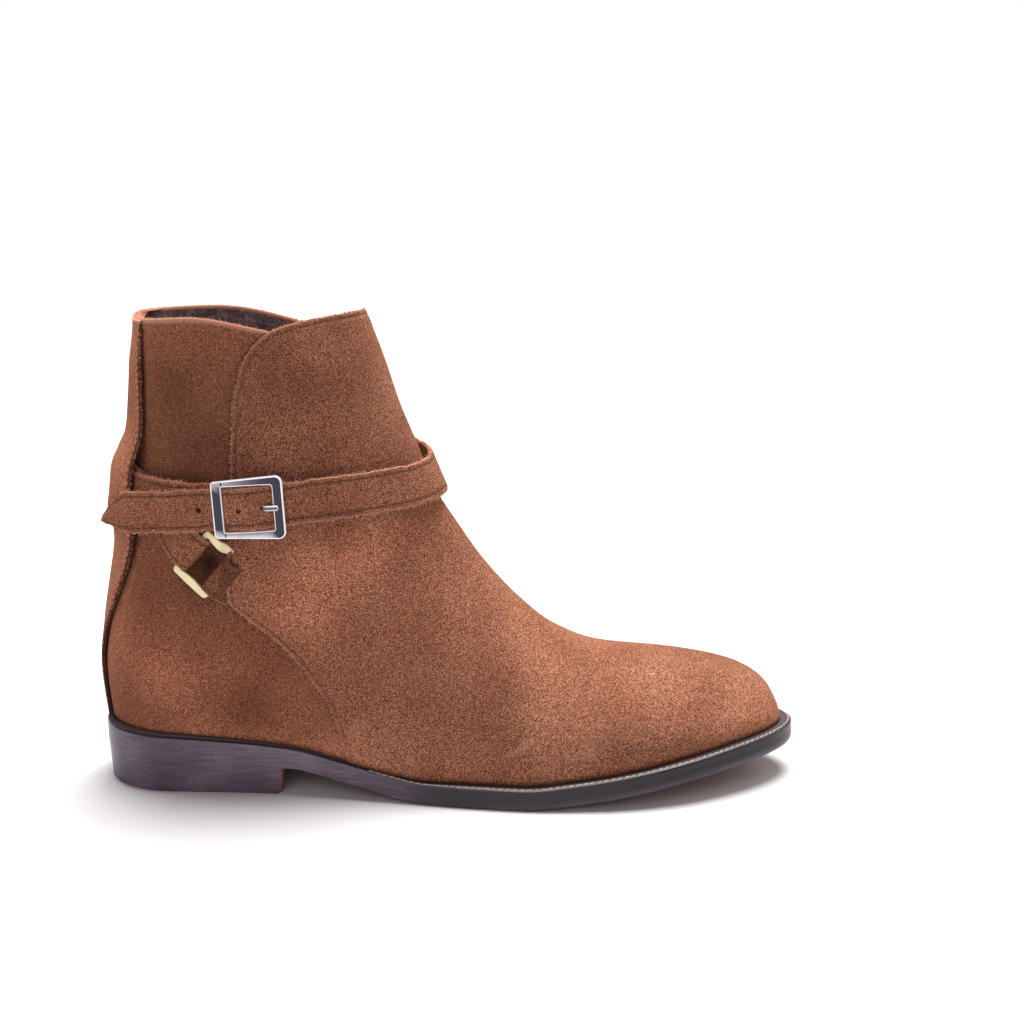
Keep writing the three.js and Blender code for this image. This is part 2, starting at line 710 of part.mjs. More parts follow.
function weld(geometry) {
  const position = geometry.getAttribute("position");
  const seen = new Map();
  const kept = [];
  const index = [];
  for (let i = 0; i < position.count; i += 1) {
    const place = [position.getX(i), position.getY(i), position.getZ(i)];
    const key = place.map((value) => value.toFixed(4)).join(" ");
    if (!seen.has(key)) {
      seen.set(key, kept.length / 3);
      kept.push(...place);
    }
    index.push(seen.get(key));
  }
  const order = geometry.getIndex() ? Array.from(geometry.getIndex().array, (i) => index[i]) : index;
  const welded = new THREE.BufferGeometry();
  welded.setAttribute("position", new THREE.Float32BufferAttribute(kept, 3));
  welded.setIndex(order);
  return welded;
}

function upper() {
  const collar = { back: COLLAR_HEIGHT, front: COLLAR_HEIGHT - COLLAR_DIP, dip: COLLAR_DIP };
  const above = { back: FLAP_HEIGHT + FLAP_CUT_ABOVE, front: FLAP_HEIGHT + FLAP_CUT_ABOVE, dip: 0 };
  const base = solid(shell(upperRings(collar, 0), 0, -WALL));
  const front = solid(shell(upperRings(above, FLAP_START), FLAP_PROUD, -FLAP_ROOT));
  return mesh("upper", geometryOf(base.add(front.intersect(flapField(0)))), SUEDE);
}

// Place on the upper's finished face at a turn round the shaft and a height, a distance out.
const flapEdgeAt = curve(FLAP_EDGE, "up", "along");
const FLAP_RAMP = 4;
const TURN_LOOK = 0.004;

function faceBare(turn, z) {
  const wrapped = turn > 1 ? turn - 2 : turn;
  const t = (1 - Math.cos(Math.PI * Math.abs(wrapped))) / 2;
  const s = mix(backAt(z), frontAt(z), t);
  return vec(s, faceAt(s, z, wrapped < 0 ? -1 : 1), z);
}

function onFace(turn, z, out) {
  const point = faceBare(turn, z);
  const round = faceBare(turn + TURN_LOOK, z).sub(faceBare(turn - TURN_LOOK, z));
  const rise = faceBare(turn, z + 1).sub(faceBare(turn, z - 1));
  const normal = round.clone().cross(rise).normalize();
  const fromMiddle = vec(point.x - mix(backAt(z), frontAt(z), SHAFT_MIDDLE), point.y, 0);
  if (normal.dot(fromMiddle) < 0) normal.negate();
  const edge = flapEdgeAt(z / FLAP_HEIGHT) * SOLE_LENGTH;
  const skin = FLAP_PROUD * smooth((point.x - edge + FLAP_RAMP) / FLAP_RAMP);
  return { point: point.addScaledVector(normal, skin + out), normal };
}

const layerHeight = (layers) => GAP + layers * (STRAP_THICKNESS + GAP);

// A course as a function of its share, with the band's direction across at each place.
function courseOf(rows) {
  const runs = rows.map((row) => ({ ...row, run: Math.abs(row.turn - rows[0].turn) }));
  const total = runs[runs.length - 1].run;
  const turn = curve(runs, "run", "turn");
  const up = curve(runs, "run", "up");
  const layers = curve(runs, "run", "layers");
  const middle = (share) => onFace(turn(share * total), up(share * total) * COLLAR_HEIGHT, 0).point;
  return (share) => {
    const at = { turn: turn(share * total), z: up(share * total) * COLLAR_HEIGHT };
    const ahead = middle(Math.min(1, share + TURN_LOOK));
    const along = ahead.sub(middle(Math.max(0, share - TURN_LOOK))).normalize();
    const byTurn = onFace(at.turn + TURN_LOOK, at.z, 0).point;
    byTurn.sub(onFace(at.turn - TURN_LOOK, at.z, 0).point);
    const byRise = onFace(at.turn, at.z + 1, 0).point.sub(onFace(at.turn, at.z - 1, 0).point);
    byTurn.divideScalar(2 * TURN_LOOK);
    byRise.divideScalar(2);
    const a = byTurn.dot(along);
    const b = byRise.dot(along);
    const across = byTurn.clone().multiplyScalar(b).addScaledVector(byRise, -a);
    const unit = (across.z < 0 ? -1 : 1) / across.length();
    const place = (offset, out) => {
      return onFace(at.turn + b * unit * offset, at.z - a * unit * offset, out).point;
    };
    return { layers: layers(share * total), place };
  };
}

// A cross section of a band: pairs of inner and outer points from edge to edge.
const BAND_ACROSS = [-0.5, -0.17, 0.17, 0.5];

function courseSection(course, share, width) {
  const here = course(share);
  const inner = layerHeight(here.layers);
  return BAND_ACROSS.map((place) => [
    here.place(place * width, inner),
    here.place(place * width, inner + STRAP_THICKNESS),
  ]);
}

function bandGeometry(sections) {
  const loops = sections.map((pairs) => [
    ...pairs.map(([, outer]) => outer),
    ...pairs.map(([inner]) => inner).reverse(),
  ]);
  return loft(loops, { shift: 1 });
}

// A flat section in a fitting's own frame: along, height and the tilt of the band there.
function frameSection(frame, along, height, tilt, width) {
  const middle = frame.at(along, 0, height);
  const out = frame.along.clone().multiplyScalar(Math.cos(tilt));
  out.addScaledVector(frame.out, Math.sin(tilt));
  return BAND_ACROSS.map((place) =>
    [-0.5, 0.5].map((side) =>
      middle
        .clone()
        .addScaledVector(frame.across, place * width)
        .addScaledVector(out, side * STRAP_THICKNESS),
    ),
  );
}

// The turned-back end of a band round a bar: from the tail under it to the top.
const TAIL_LENGTH = 3.5;
const TURN_STEPS = 6;

function turnedEnd(frame, barAlong, barHeight, barSize, heading, width) {
  const radius = barSize / 2 + GAP + STRAP_THICKNESS / 2;
  const sections = [];
  const add = (angle, extra) => {
    const along = barAlong + heading * (extra - radius * Math.sin(angle));
    const height = barHeight - radius * Math.cos(angle);
    const tilt = Math.atan2(-Math.cos(angle), -heading * Math.sin(angle));
    sections.push(frameSection(frame, along, height, tilt, width));
  };
  add(0, TAIL_LENGTH);
  for (let i = 0; i <= TURN_STEPS; i += 1) add((Math.PI * i) / TURN_STEPS, 0);
  return sections;
}

// A fitting's frame on the upper's face: along points to the toe end of a course.
function frameOn(turn, z, towards) {
  const here = onFace(turn, z, 0);
  const along = towards.clone().addScaledVector(here.normal, -towards.dot(here.normal));
  along.normalize();
  const across = here.normal.clone().cross(along).normalize();
  if (across.z < 0) across.negate();
  const at = (a, b, c) => {
    const place = here.point.clone().addScaledVector(along, a).addScaledVector(across, b);
    return place.addScaledVector(here.normal, c);
  };
  return { along, across, out: here.normal, at };
}

const barHeightFor = (size) => layerHeight(0) + STRAP_THICKNESS + GAP + size / 2;
const RING_HEIGHT = barHeightFor(RING_WIRE);
const CENTRE_BAR = 1.8;
const CENTRE_ROUND = CENTRE_BAR * Math.SQRT2;
const CENTRE_HEIGHT = barHeightFor(CENTRE_ROUND);
const RING_REACH = (RING_LENGTH - RING_WIRE) / 2;

// The ring's frame: along points up the strap, and the strap starts at +RING_REACH.
function ringFrame(side) {
  const place = (way) => {
    const up = (RING_UP + way * RING_LEAN.up) * COLLAR_HEIGHT;
    return onFace(side * (RING_TURN - way * RING_LEAN.turn), up, 0).point;
  };
  return frameOn(side * RING_TURN, RING_UP * COLLAR_HEIGHT, place(1).sub(place(-1)));
}

// A rectangular frame with rounded corners and bevelled bars, wider at its toe end.
const CORNER_STEPS = 3;
const OUTER_CORNER = 0.7;
const INNER_CORNER = 0.2;

function barFrame(frame, size, height) {
  const bevel = size.depth / 4;
  const corners = [
    [1, 1],
    [-1, 1],
    [-1, -1],
    [1, -1],
  ];
  const loopAt = (edge, grow, level) =>
    corners.flatMap(([sideAlong, sideAcross], quarter) => {
      const radius = Math.max(edge.corner + grow, GAP);
      const flare = sideAlong > 0 ? edge.flare : 0;
      const along = edge.length / 2 + grow - radius;
      const across = (edge.width + flare) / 2 + grow - radius;
      return Array.from({ length: CORNER_STEPS + 1 }, (_, i) => {
        const angle = (Math.PI / 2) * (quarter + i / CORNER_STEPS);
        const a = sideAlong * along + radius * Math.cos(angle);
        return frame.at(a, sideAcross * across + radius * Math.sin(angle), height + level);
      });
    });
  const outer = { ...size, corner: size.bar * OUTER_CORNER };
  const opening = size.length - 2 * size.bar;
  const inner = { length: opening, width: size.inside, flare: 0, corner: size.bar * INNER_CORNER };
  const half = size.depth / 2;
  return loft(
    [
      loopAt(outer, 0, bevel - half),
      loopAt(outer, 0, half - bevel),
      loopAt(outer, -bevel, half),
      loopAt(inner, bevel, half),
      loopAt(inner, 0, half - bevel),
      loopAt(inner, 0, bevel - half),
      loopAt(inner, bevel, -half),
      loopAt(outer, -bevel, -half),
    ],
    { joined: true },
  );
}

function frameBox(frame, low, high) {
  const corners = (a) => [
    frame.at(a, low[1], low[2]),
    frame.at(a, high[1], low[2]),
    frame.at(a, high[1], high[2]),
    frame.at(a, low[1], high[2]),
  ];
  return loft([corners(low[0]), corners(high[0])], { shift: 1 });
}

function ring(name, side) {
  const size = {
    length: RING_LENGTH,
    width: RING_WIDTH,
    inside: RING_WIDTH - 2 * RING_WIRE,
    flare: 0,
    bar: RING_WIRE,
    depth: RING_DEPTH,
  };
  return mesh(name, barFrame(ringFrame(side), size, RING_HEIGHT), BRASS);
}

// The tab that holds a ring, turned round its lower bar and running under the flap.
const TAB_SHARES = [0.35, 0.7, 1];

function tab(name, side) {
  const frame = ringFrame(side);
  const width = STRAP_WIDTH - LOOP_WIDTH_EASE;
  const sections = turnedEnd(frame, -RING_REACH, RING_HEIGHT, RING_WIRE, -1, width);
  const radius = RING_WIRE / 2 + GAP + STRAP_THICKNESS / 2;
  const settled = layerHeight(1) + STRAP_THICKNESS / 2 + GAP;
  TAB_SHARES.forEach((share) => {
    const height = mix(RING_HEIGHT + radius, settled, smooth(share));
    sections.push(frameSection(frame, -RING_REACH - share * TAB_LENGTH, height, Math.PI / 2, width));
  });
  const band = solid(bandGeometry(sections));
  return mesh(name, geometryOf(band.subtract(flapField(FLAP_PROUD + GAP))), SUEDE_DARK);
}

const longCourse = courseOf(LONG_STRAP);
const buckleCourse = courseOf(BUCKLE_STRAP);
const LONG_STEPS = 60;
const BUCKLE_STEPS = 26;
const COURSE_START = 4;
const LOOP_SECTIONS = 3;
const BUCKLE_END = 0.985;
const BUCKLE_LOOK = 0.03;
const POINT_BLUNT = 0.12;

function buckleFrameOf() {
  const z = BUCKLE_UP * COLLAR_HEIGHT;
  const place = (way) => onFace(BUCKLE_TURN - way * BUCKLE_LOOK, z + way * BUCKLE_TILT, 0).point;
  return frameOn(BUCKLE_TURN, z, place(1).sub(place(-1)));
}

// Height of the buckle's frame over the upper's face, and how far its posts wrap the bar
const POST_EASE = 0.15;
const FRAME_HEIGHT = CENTRE_HEIGHT + CENTRE_BAR / 2 + 2 * STRAP_THICKNESS;

function buckleFrame() {
  const frame = buckleFrameOf();
  const size = {
    length: BUCKLE_LENGTH,
    width: BUCKLE_WIDTH,
    inside: BUCKLE_INSIDE,
    flare: BUCKLE_FLARE,
    bar: BUCKLE_BAR,
    depth: BUCKLE_THICKNESS,
  };
  const outer = solid(barFrame(frame, size, FRAME_HEIGHT));
  const reach = BUCKLE_WIDTH / 2 - GAP;
  const inside = BUCKLE_INSIDE / 2;
  const half = CENTRE_BAR / 2;
  const low = CENTRE_HEIGHT - half;
  const bar = solid(frameBox(frame, [-half, -reach, low], [half, reach, CENTRE_HEIGHT + half]));
  const posts = [-1, 1].map((side) => {
    const ends = [side * (inside + POST_EASE), side * (reach + POST_EASE)].sort((a, b) => a - b);
    const foot = [-half - POST_EASE, ends[0], low - POST_EASE];
    return solid(frameBox(frame, foot, [half + POST_EASE, ends[1], FRAME_HEIGHT + half / 2]));
  });
  return mesh("buckle_frame", geometryOf(outer.add(bar).add(posts[0]).add(posts[1])), CHROME);
}

// The buckle's pin: an eye round the centre bar and a shank up through the strap.
const PRONG_THICKNESS = 1.3;
const PRONG_RAMP = { start: 3.6, half: 1.2 };
const PRONG_TIP = 0.8;
const TIP_TAPER = 0.6;

function prong() {
  const frame = buckleFrameOf();
  const inner = CENTRE_BAR / Math.SQRT2 + GAP;
  const thick = PRONG_THICKNESS;
  const eyeSteps = 10;
  const circle = (radius, across) =>
    Array.from({ length: eyeSteps }, (_, i) => {
      const angle = (2 * Math.PI * i) / eyeSteps;
      return frame.at(radius * Math.cos(angle), across, CENTRE_HEIGHT + radius * Math.sin(angle));
    });
  const edge = PRONG_WIDTH / 2;
  const eye = loft(
    [circle(inner, -edge), circle(inner + thick, -edge), circle(inner + thick, edge), circle(inner, edge)],
    { joined: true },
  );
  const rest = FRAME_HEIGHT + BUCKLE_THICKNESS / 2 + GAP;
  const rise = inner + thick / 2 + CENTRE_HEIGHT;
  const hole = PRONG_HOLE.along;
  const line = [
    [0, rise - thick / 2],
    [hole - PRONG_RAMP.start, rise - thick / 2],
    [hole - PRONG_RAMP.half, rise],
    [hole + PRONG_RAMP.half, rest],
    [BUCKLE_LENGTH / 2 - BUCKLE_BAR - EDGE_ROUND, rest],
    [BUCKLE_LENGTH / 2 - PRONG_TIP, rest],
  ];
  const loops = line.map(([along, height], i) => {
    const half = i === line.length - 1 ? edge * TIP_TAPER : edge;
    return [
      frame.at(along, -half, height),
      frame.at(along, half, height),
      frame.at(along, half, height + thick),
      frame.at(along, -half, height + thick),
    ];
  });
  const shank = solid(loft(loops, { shift: 1 }));
  return mesh("buckle_prong", geometryOf(solid(eye).add(shank)), CHROME);
}

// Sections of a course from its start, narrowed where it leaves a ring.
function courseSections(course, steps, end) {
  const start = COURSE_START / courseLength(course);
  return Array.from({ length: steps }, (_, i) => {
    const width = STRAP_WIDTH - (i < LOOP_SECTIONS ? LOOP_WIDTH_EASE : 0);
    return courseSection(course, mix(start, end, (i + 1) / steps), width);
  });
}

function courseLength(course) {
  const steps = 2 * LONG_STEPS;
  const middles = Array.from({ length: steps + 1 }, (_, i) => course(i / steps).place(0, 0));
  return middles.slice(1).reduce((sum, point, i) => sum + point.distanceTo(middles[i]), 0);
}

function longStrap() {
  const frame = ringFrame(-1);
  const point = STRAP_POINT / courseLength(longCourse);
  const width = STRAP_WIDTH - LOOP_WIDTH_EASE;
  const sections = turnedEnd(frame, RING_REACH, RING_HEIGHT, RING_WIRE, 1, width);
  sections.push(...courseSections(longCourse, LONG_STEPS, 1 - point));
  [0.5, 1].forEach((part) => {
    const share = 1 - point * (1 - part);
    sections.push(courseSection(longCourse, share, STRAP_WIDTH * mix(1, POINT_BLUNT, part)));
  });
  const buckle = buckleFrameOf();
  const hole = frameBox(
    buckle,
    [PRONG_HOLE.along - PRONG_HOLE.half, -PRONG_HOLE.wide / 2, CENTRE_HEIGHT],
    [PRONG_HOLE.along + PRONG_HOLE.half, PRONG_HOLE.wide / 2, FRAME_HEIGHT * 2],
  );
  return mesh("long_strap", geometryOf(solid(bandGeometry(sections)).subtract(solid(hole))), SUEDE);
}

function buckleStrap() {
  const ringEnd = ringFrame(1);
  const width = STRAP_WIDTH - LOOP_WIDTH_EASE;
  const sections = turnedEnd(ringEnd, RING_REACH, RING_HEIGHT, RING_WIRE, 1, width);
  sections.push(...courseSections(buckleCourse, BUCKLE_STEPS, BUCKLE_END));
  const buckle = buckleFrameOf();
  sections.push(...turnedEnd(buckle, 0, CENTRE_HEIGHT, CENTRE_ROUND, -1, width).reverse());
  const slot = frameBox(
    buckle,
    [-SLOT.back, -SLOT.wide / 2, -CENTRE_HEIGHT],
    [SLOT.ahead, SLOT.wide / 2, FRAME_HEIGHT * 2],
  );
  return mesh("buckle_strap", geometryOf(solid(bandGeometry(sections)).subtract(solid(slot))), SUEDE);
}

// The strip up the back seam, standing off where the straps pass under it.
const STRIP_ACROSS = [-1, -0.6, -0.2, 0.2, 0.6, 1];
const STRIP_STEPS = 32;
const STRIP_REST = 0.35;
const ARC_LOOK = 0.01;

function turnAtArc(z, distance) {
  const step = ARC_LOOK * Math.sign(distance);
  let turn = 0;
  let walked = 0;
  let before = faceBare(0, z);
  while (walked < Math.abs(distance)) {
    turn += step;
    const next = faceBare(turn, z);
    walked += next.distanceTo(before);
    before = next;
  }
  return turn;
}

function backStrip() {
  const half = curve(BACK_STRIP, "up", "half");
  const lift = curve(BACK_STRIP, "up", "lift");
  const sections = Array.from({ length: STRIP_STEPS + 1 }, (_, j) => {
    const up = j / STRIP_STEPS;
    const z = mix(feather(0) + GAP, COLLAR_HEIGHT - GAP, up);
    const low = layerHeight(lift(up)) + STRIP_REST;
    return STRIP_ACROSS.map((place) => {
      const turn = turnAtArc(z, (place * half(up) * STRIP_WIDTH) / 2);
      return [onFace(turn, z, low).point, onFace(turn, z, low + STRIP_THICKNESS).point];
    });
  });
  return mesh("back_strip", bandGeometry(sections), SUEDE);
}

const boot = new THREE.Group();
boot.position.x = -HEEL_LENGTH / 2;
boot.add(outsole(), welt(), heel(), insole(), upper(), backStrip());
boot.add(longStrap(), buckleStrap());
boot.add(ring("outer_ring", -1), ring("inner_ring", 1), tab("outer_tab", -1), tab("inner_tab", 1));
boot.add(buckleFrame(), prong());

export default boot;
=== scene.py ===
# Jodhpur ankle boot, right foot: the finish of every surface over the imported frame.
# Shapes are worked out in millimetres from the heel's back (s), across the foot (y)
# and up from the floor (z), and placed in the row frame in metres.
import math

import bpy
import numpy as np
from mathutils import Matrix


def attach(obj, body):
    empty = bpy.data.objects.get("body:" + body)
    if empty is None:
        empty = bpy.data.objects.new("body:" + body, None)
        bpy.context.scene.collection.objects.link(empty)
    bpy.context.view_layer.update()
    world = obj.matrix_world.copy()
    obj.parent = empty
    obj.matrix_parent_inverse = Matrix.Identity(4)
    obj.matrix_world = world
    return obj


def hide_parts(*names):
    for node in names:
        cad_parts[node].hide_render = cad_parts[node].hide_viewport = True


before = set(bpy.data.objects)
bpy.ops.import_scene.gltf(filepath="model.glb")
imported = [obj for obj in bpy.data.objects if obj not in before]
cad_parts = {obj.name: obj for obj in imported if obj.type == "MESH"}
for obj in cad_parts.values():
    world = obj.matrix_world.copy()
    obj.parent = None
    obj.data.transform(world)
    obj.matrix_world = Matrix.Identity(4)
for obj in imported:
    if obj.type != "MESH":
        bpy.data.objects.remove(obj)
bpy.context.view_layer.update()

# Units and the shift from the heel's back to the row frame's origin
MM = 0.001
HEEL_LENGTH = 82
ORIGIN_S = HEEL_LENGTH / 2

# Driving sizes, in millimetres
SOLE_LENGTH = 300
BALL_WIDTH = 104
TOE_ROUND = 66
HEEL_ROUND = 34
HEEL_HEIGHT = 17
HEEL_FLARE = 1.2
TOE_SPRING = 13.8
OUTSOLE_THICKNESS = 5.4
WELT_THICKNESS = 3.0
WELT_BEARING = 3.6
COLLAR_HEIGHT = 200.5
COLLAR_DIP = 11
INSTEP_HEIGHT = 100
SHAFT_WIDTH = 72
WALL = 2.2
FLAP_PROUD = 1.3
FLAP_HEIGHT = 201.5
HEEL_LEDGE = 2.4
TOE_LEDGE = 6.2
STRIP_THICKNESS = 1.9
STRIP_WIDTH = 46
STRAP_WIDTH = 17.6
LOOP_WIDTH_EASE = 1.2
STRAP_THICKNESS = 2.0
STRAP_POINT = 12
RING_LENGTH = 18.5
RING_WIRE = 2.5
RING_DEPTH = 2.2
TAB_LENGTH = 10
BUCKLE_LENGTH = 29
BUCKLE_RAIL = 2.3
BUCKLE_FLARE = 2.6
BUCKLE_BAR = 4.2
BUCKLE_THICKNESS = 1.9
PRONG_WIDTH = 2.2
PRONG_THICKNESS = 1.3
GAP = 0.3
RING_WIDTH = STRAP_WIDTH + 2 * (RING_WIRE + GAP)
BUCKLE_INSIDE = STRAP_WIDTH + 4 * GAP
BUCKLE_WIDTH = BUCKLE_INSIDE + 2 * BUCKLE_RAIL

# Powers of the round ends, and the side view's blend from foot to shaft
HEEL_POWER = 2.1
TOE_POWER = 2
SHAFT_FRONT_POWER = 1.75
SHAFT_BACK_POWER = 2.1
SHAFT_BLEND_LOW = 0.22
SHAFT_BLEND_HIGH = 0.6
SHAFT_MIDDLE = 0.46
BELLY = 0.03
THROAT_CLEAR = 0.03
LEDGE_START = 0.3
LEDGE_RUN = 0.28
RING_CROWD = 1.15
RING_SETTLE = 2.2
DIP_START = 0.25
DIP_RUN = 0.7
FLAP_RAMP = 4
TURN_LOOK = 0.004


def table(columns, *rows):
    names = columns.split()
    return [dict(zip(names, row)) for row in rows]


# Outline of the sole from above: shares of the length and of the ball's width
OUTLINE = table(
    "along outer inner swing",
    (0.0, 0.325, 0.325, 0.0),
    (0.12, 0.33, 0.325, 0.0),
    (0.27, 0.345, 0.31, 0.0),
    (0.4, 0.4, 0.28, 0.0),
    (0.53, 0.468, 0.345, 0.0),
    (0.63, 0.497, 0.43, 0.0),
    (0.72, 0.487, 0.475, 0.005),
    (0.82, 0.44, 0.455, 0.02),
    (0.92, 0.38, 0.4, 0.04),
    (1.0, 0.33, 0.35, 0.055),
)

# Underside of the outsole: shares of the heel's height and of the toe spring
UNDERSIDE = table(
    "along heel spring",
    (0.0, 1.0, 0.0),
    (0.13, 0.9, 0.0),
    (0.273, 0.72, 0.0),
    (0.36, 0.4, 0.0),
    (0.42, 0.15, 0.0),
    (0.475, 0.0, 0.0),
    (0.61, 0.0, 0.0),
    (0.685, 0.0, 0.17),
    (0.76, 0.0, 0.4),
    (0.84, 0.0, 0.66),
    (0.92, 0.0, 0.87),
    (1.0, 0.0, 1.0),
)

# Front line of the upper: shares of the length and of the instep's height
VAMP_LINE = table(
    "along rise",
    (0.9793, 0.0),
    (0.976, 0.048),
    (0.971, 0.085),
    (0.962, 0.138),
    (0.947, 0.19),
    (0.918, 0.245),
    (0.886, 0.283),
    (0.81, 0.35),
    (0.716, 0.425),
    (0.648, 0.532),
    (0.598, 0.672),
    (0.547, 0.836),
    (0.51, 1.0),
)

# The shaft: shares of the collar's height, the length and the shaft's width
SHAFT = table(
    "up front back wide",
    (0.0, 0.6, 0.022, 0.95),
    (0.15, 0.58, 0.008, 0.95),
    (0.25, 0.56, 0.004, 0.95),
    (0.34, 0.54, 0.01, 0.93),
    (0.44, 0.528, 0.021, 0.9),
    (0.53, 0.512, 0.033, 0.88),
    (0.62, 0.478, 0.044, 0.87),
    (0.72, 0.452, 0.052, 0.89),
    (0.8, 0.43, 0.058, 0.92),
    (0.9, 0.408, 0.064, 0.97),
    (1.0, 0.383, 0.067, 1.0),
    (1.1, 0.358, 0.068, 1.02),
)

# How full the foot's section is along the shoe, and its ridge's shift inward
FULLNESS = table(
    "along power ridge",
    (0.0, 1.7, 0.0),
    (0.36, 1.55, 0.0),
    (0.5, 1.6, 0.03),
    (0.63, 1.72, 0.05),
    (0.75, 1.9, 0.045),
    (0.87, 2.1, 0.05),
    (1.0, 2.2, 0.06),
)

# Rear edge of the front flap, from the welt to the collar
FLAP_EDGE = table(
    "along up",
    (0.372, 0.030),
    (0.362, 0.099),
    (0.350, 0.159),
    (0.331, 0.218),
    (0.310, 0.263),
    (0.287, 0.303),
    (0.256, 0.344),
    (0.224, 0.380),
    (0.204, 0.408),
    (0.201, 0.437),
    (0.203, 0.496),
    (0.207, 0.596),
    (0.212, 0.680),
    (0.216, 0.759),
    (0.220, 0.824),
    (0.228, 0.873),
    (0.238, 0.913),
    (0.255, 0.945),
    (0.273, 0.966),
    (0.293, 0.977),
    (0.323, 0.987),
    (0.357, 0.994),
    (0.397, 1.000),
    (0.450, 1.007),
)

# Back strip: its half width's share and the room under it in strap layers
BACK_STRIP = table(
    "up half lift",
    (0, 0.28, 0),
    (0.1, 0.28, 0),
    (0.2, 0.46, 0),
    (0.3, 0.78, 0),
    (0.38, 0.92, 0),
    (0.43, 0.96, 0.15),
    (0.47, 0.98, 0.7),
    (0.505, 1, 1.8),
    (0.53, 1, 2.35),
    (0.615, 1, 2.35),
    (0.641, 1, 2.1),
    (0.667, 1, 1.4),
    (0.69, 1, 0.8),
    (0.713, 1, 0.2),
    (0.75, 1, 0),
    (1, 0.98, 0),
)

# Courses of the straps: turn in half turns from the back to the inner side, the share
# of the collar's height, and the room under the strap in layers
LONG_STRAP = table(
    "turn up layers",
    (-0.339, 0.523, 1.95),
    (-0.328, 0.534, 1.05),
    (-0.315, 0.547, 0.35),
    (-0.3, 0.563, 0.1),
    (-0.25, 0.602, 0),
    (-0.2, 0.625, 0),
    (-0.126, 0.645, 0),
    (0, 0.660, 0),
    (0.15, 0.675, 0),
    (0.35, 0.688, 0.3),
    (0.6, 0.690, 0.5),
    (0.85, 0.672, 0.9),
    (1, 0.654, 1.2),
    (1.14, 0.642, 1.4),
    (1.3, 0.636, 1.3),
    (1.4, 0.631, 1.6),
    (1.465, 0.626, 2.1),
    (1.53, 0.620, 3.3),
    (1.57, 0.617, 2.7),
    (1.605, 0.615, 2.7),
    (1.645, 0.612, 3.2),
    (1.69, 0.607, 3.2),
    (1.735, 0.602, 2.75),
    (1.775, 0.597, 3.35),
    (1.81, 0.592, 3.6),
    (1.85, 0.585, 3.6),
    (1.9, 0.574, 3.65),
    (1.935, 0.563, 3.8),
)
BUCKLE_STRAP = table(
    "turn up layers",
    (0.339, 0.523, 1.95),
    (0.324, 0.538, 1.6),
    (0.305, 0.557, 1.3),
    (0.262, 0.588, 1.1),
    (0.2, 0.615, 1.05),
    (0.126, 0.630, 1.05),
    (0, 0.636, 1.05),
    (-0.126, 0.634, 1.05),
    (-0.22, 0.629, 1.1),
    (-0.285, 0.625, 1.6),
    (-0.315, 0.625, 2.1),
    (-0.35, 0.625, 2.2),
    (-0.375, 0.623, 1.5),
    (-0.4, 0.621, 1.1),
    (-0.435, 0.620, 1.6),
    (-0.465, 0.620, 2.1),
)
BUCKLE_TURN = -0.47
BUCKLE_UP = 0.62
BUCKLE_TILT = 0.35
BUCKLE_LOOK = 0.03
RING_TURN = 0.366
RING_UP = 0.495
RING_LEAN = {"turn": 0.024, "up": 0.0255}
BUCKLE_END = 0.985
TAIL_LENGTH = 3.5
STRIP_REST = 0.35

# Soft hollows (negative) and swells of the suede: a point of the side view in shares of
# the length and the collar's height, the side (-1 outer, 1 inner, 0 both), the half
# lengths along and across, the lean of the long axis in degrees, and the depth in mm
RELIEF = table(
    "along up side long wide lean depth",
    (0.60, 0.345, 0, 26, 7, 118, -0.75),
    (0.565, 0.40, 0, 24, 6, 112, 0.5),
    (0.655, 0.285, 0, 26, 7, 128, 0.55),
    (0.70, 0.215, 0, 24, 6, 140, -0.6),
    (0.735, 0.17, 0, 20, 7, 150, 0.45),
    (0.52, 0.20, -1, 34, 13, 150, -0.7),
    (0.44, 0.12, -1, 26, 12, 20, 0.6),
    (0.50, 0.22, 1, 34, 14, 150, -0.8),
    (0.30, 0.52, -1, 20, 8, 60, 0.6),
    (0.165, 0.44, 0, 17, 9, 165, 0.6),
    (0.10, 0.50, 0, 16, 6, 15, -0.5),
    (0.13, 0.33, 0, 26, 10, 10, -0.55),
    (0.10, 0.22, 0, 26, 14, 0, 0.8),
    (0.24, 0.17, 0, 30, 12, 160, -0.5),
    (0.33, 0.80, 0, 34, 13, 95, 0.7),
    (0.40, 0.72, -1, 26, 9, 105, -0.6),
    (0.15, 0.82, 0, 30, 10, 92, -0.7),
    (0.45, 0.55, 0, 22, 8, 100, 0.6),
)


def mix(a, b, t):
    return a + (b - a) * t


def smooth(t):
    c = np.clip(t, 0, 1)
    return c * c * (3 - 2 * c)


def round_end(t, power):
    c = np.clip(t, 0, 1)
    return (1 - (1 - c) ** power) ** (1 / power)


def bell(distance, width):
    return np.exp(-((distance / width) ** 2))


def unit(vectors):
    length = np.linalg.norm(vectors, axis=-1, keepdims=True)
    return vectors / np.maximum(length, 1e-9)


def hermite(t):
    """Weights of a start, the slope there, an end and the slope there, for a smooth way."""
    return 2 * t**3 - 3 * t**2 + 1, t**3 - 2 * t**2 + t, 3 * t**2 - 2 * t**3, t**3 - t**2


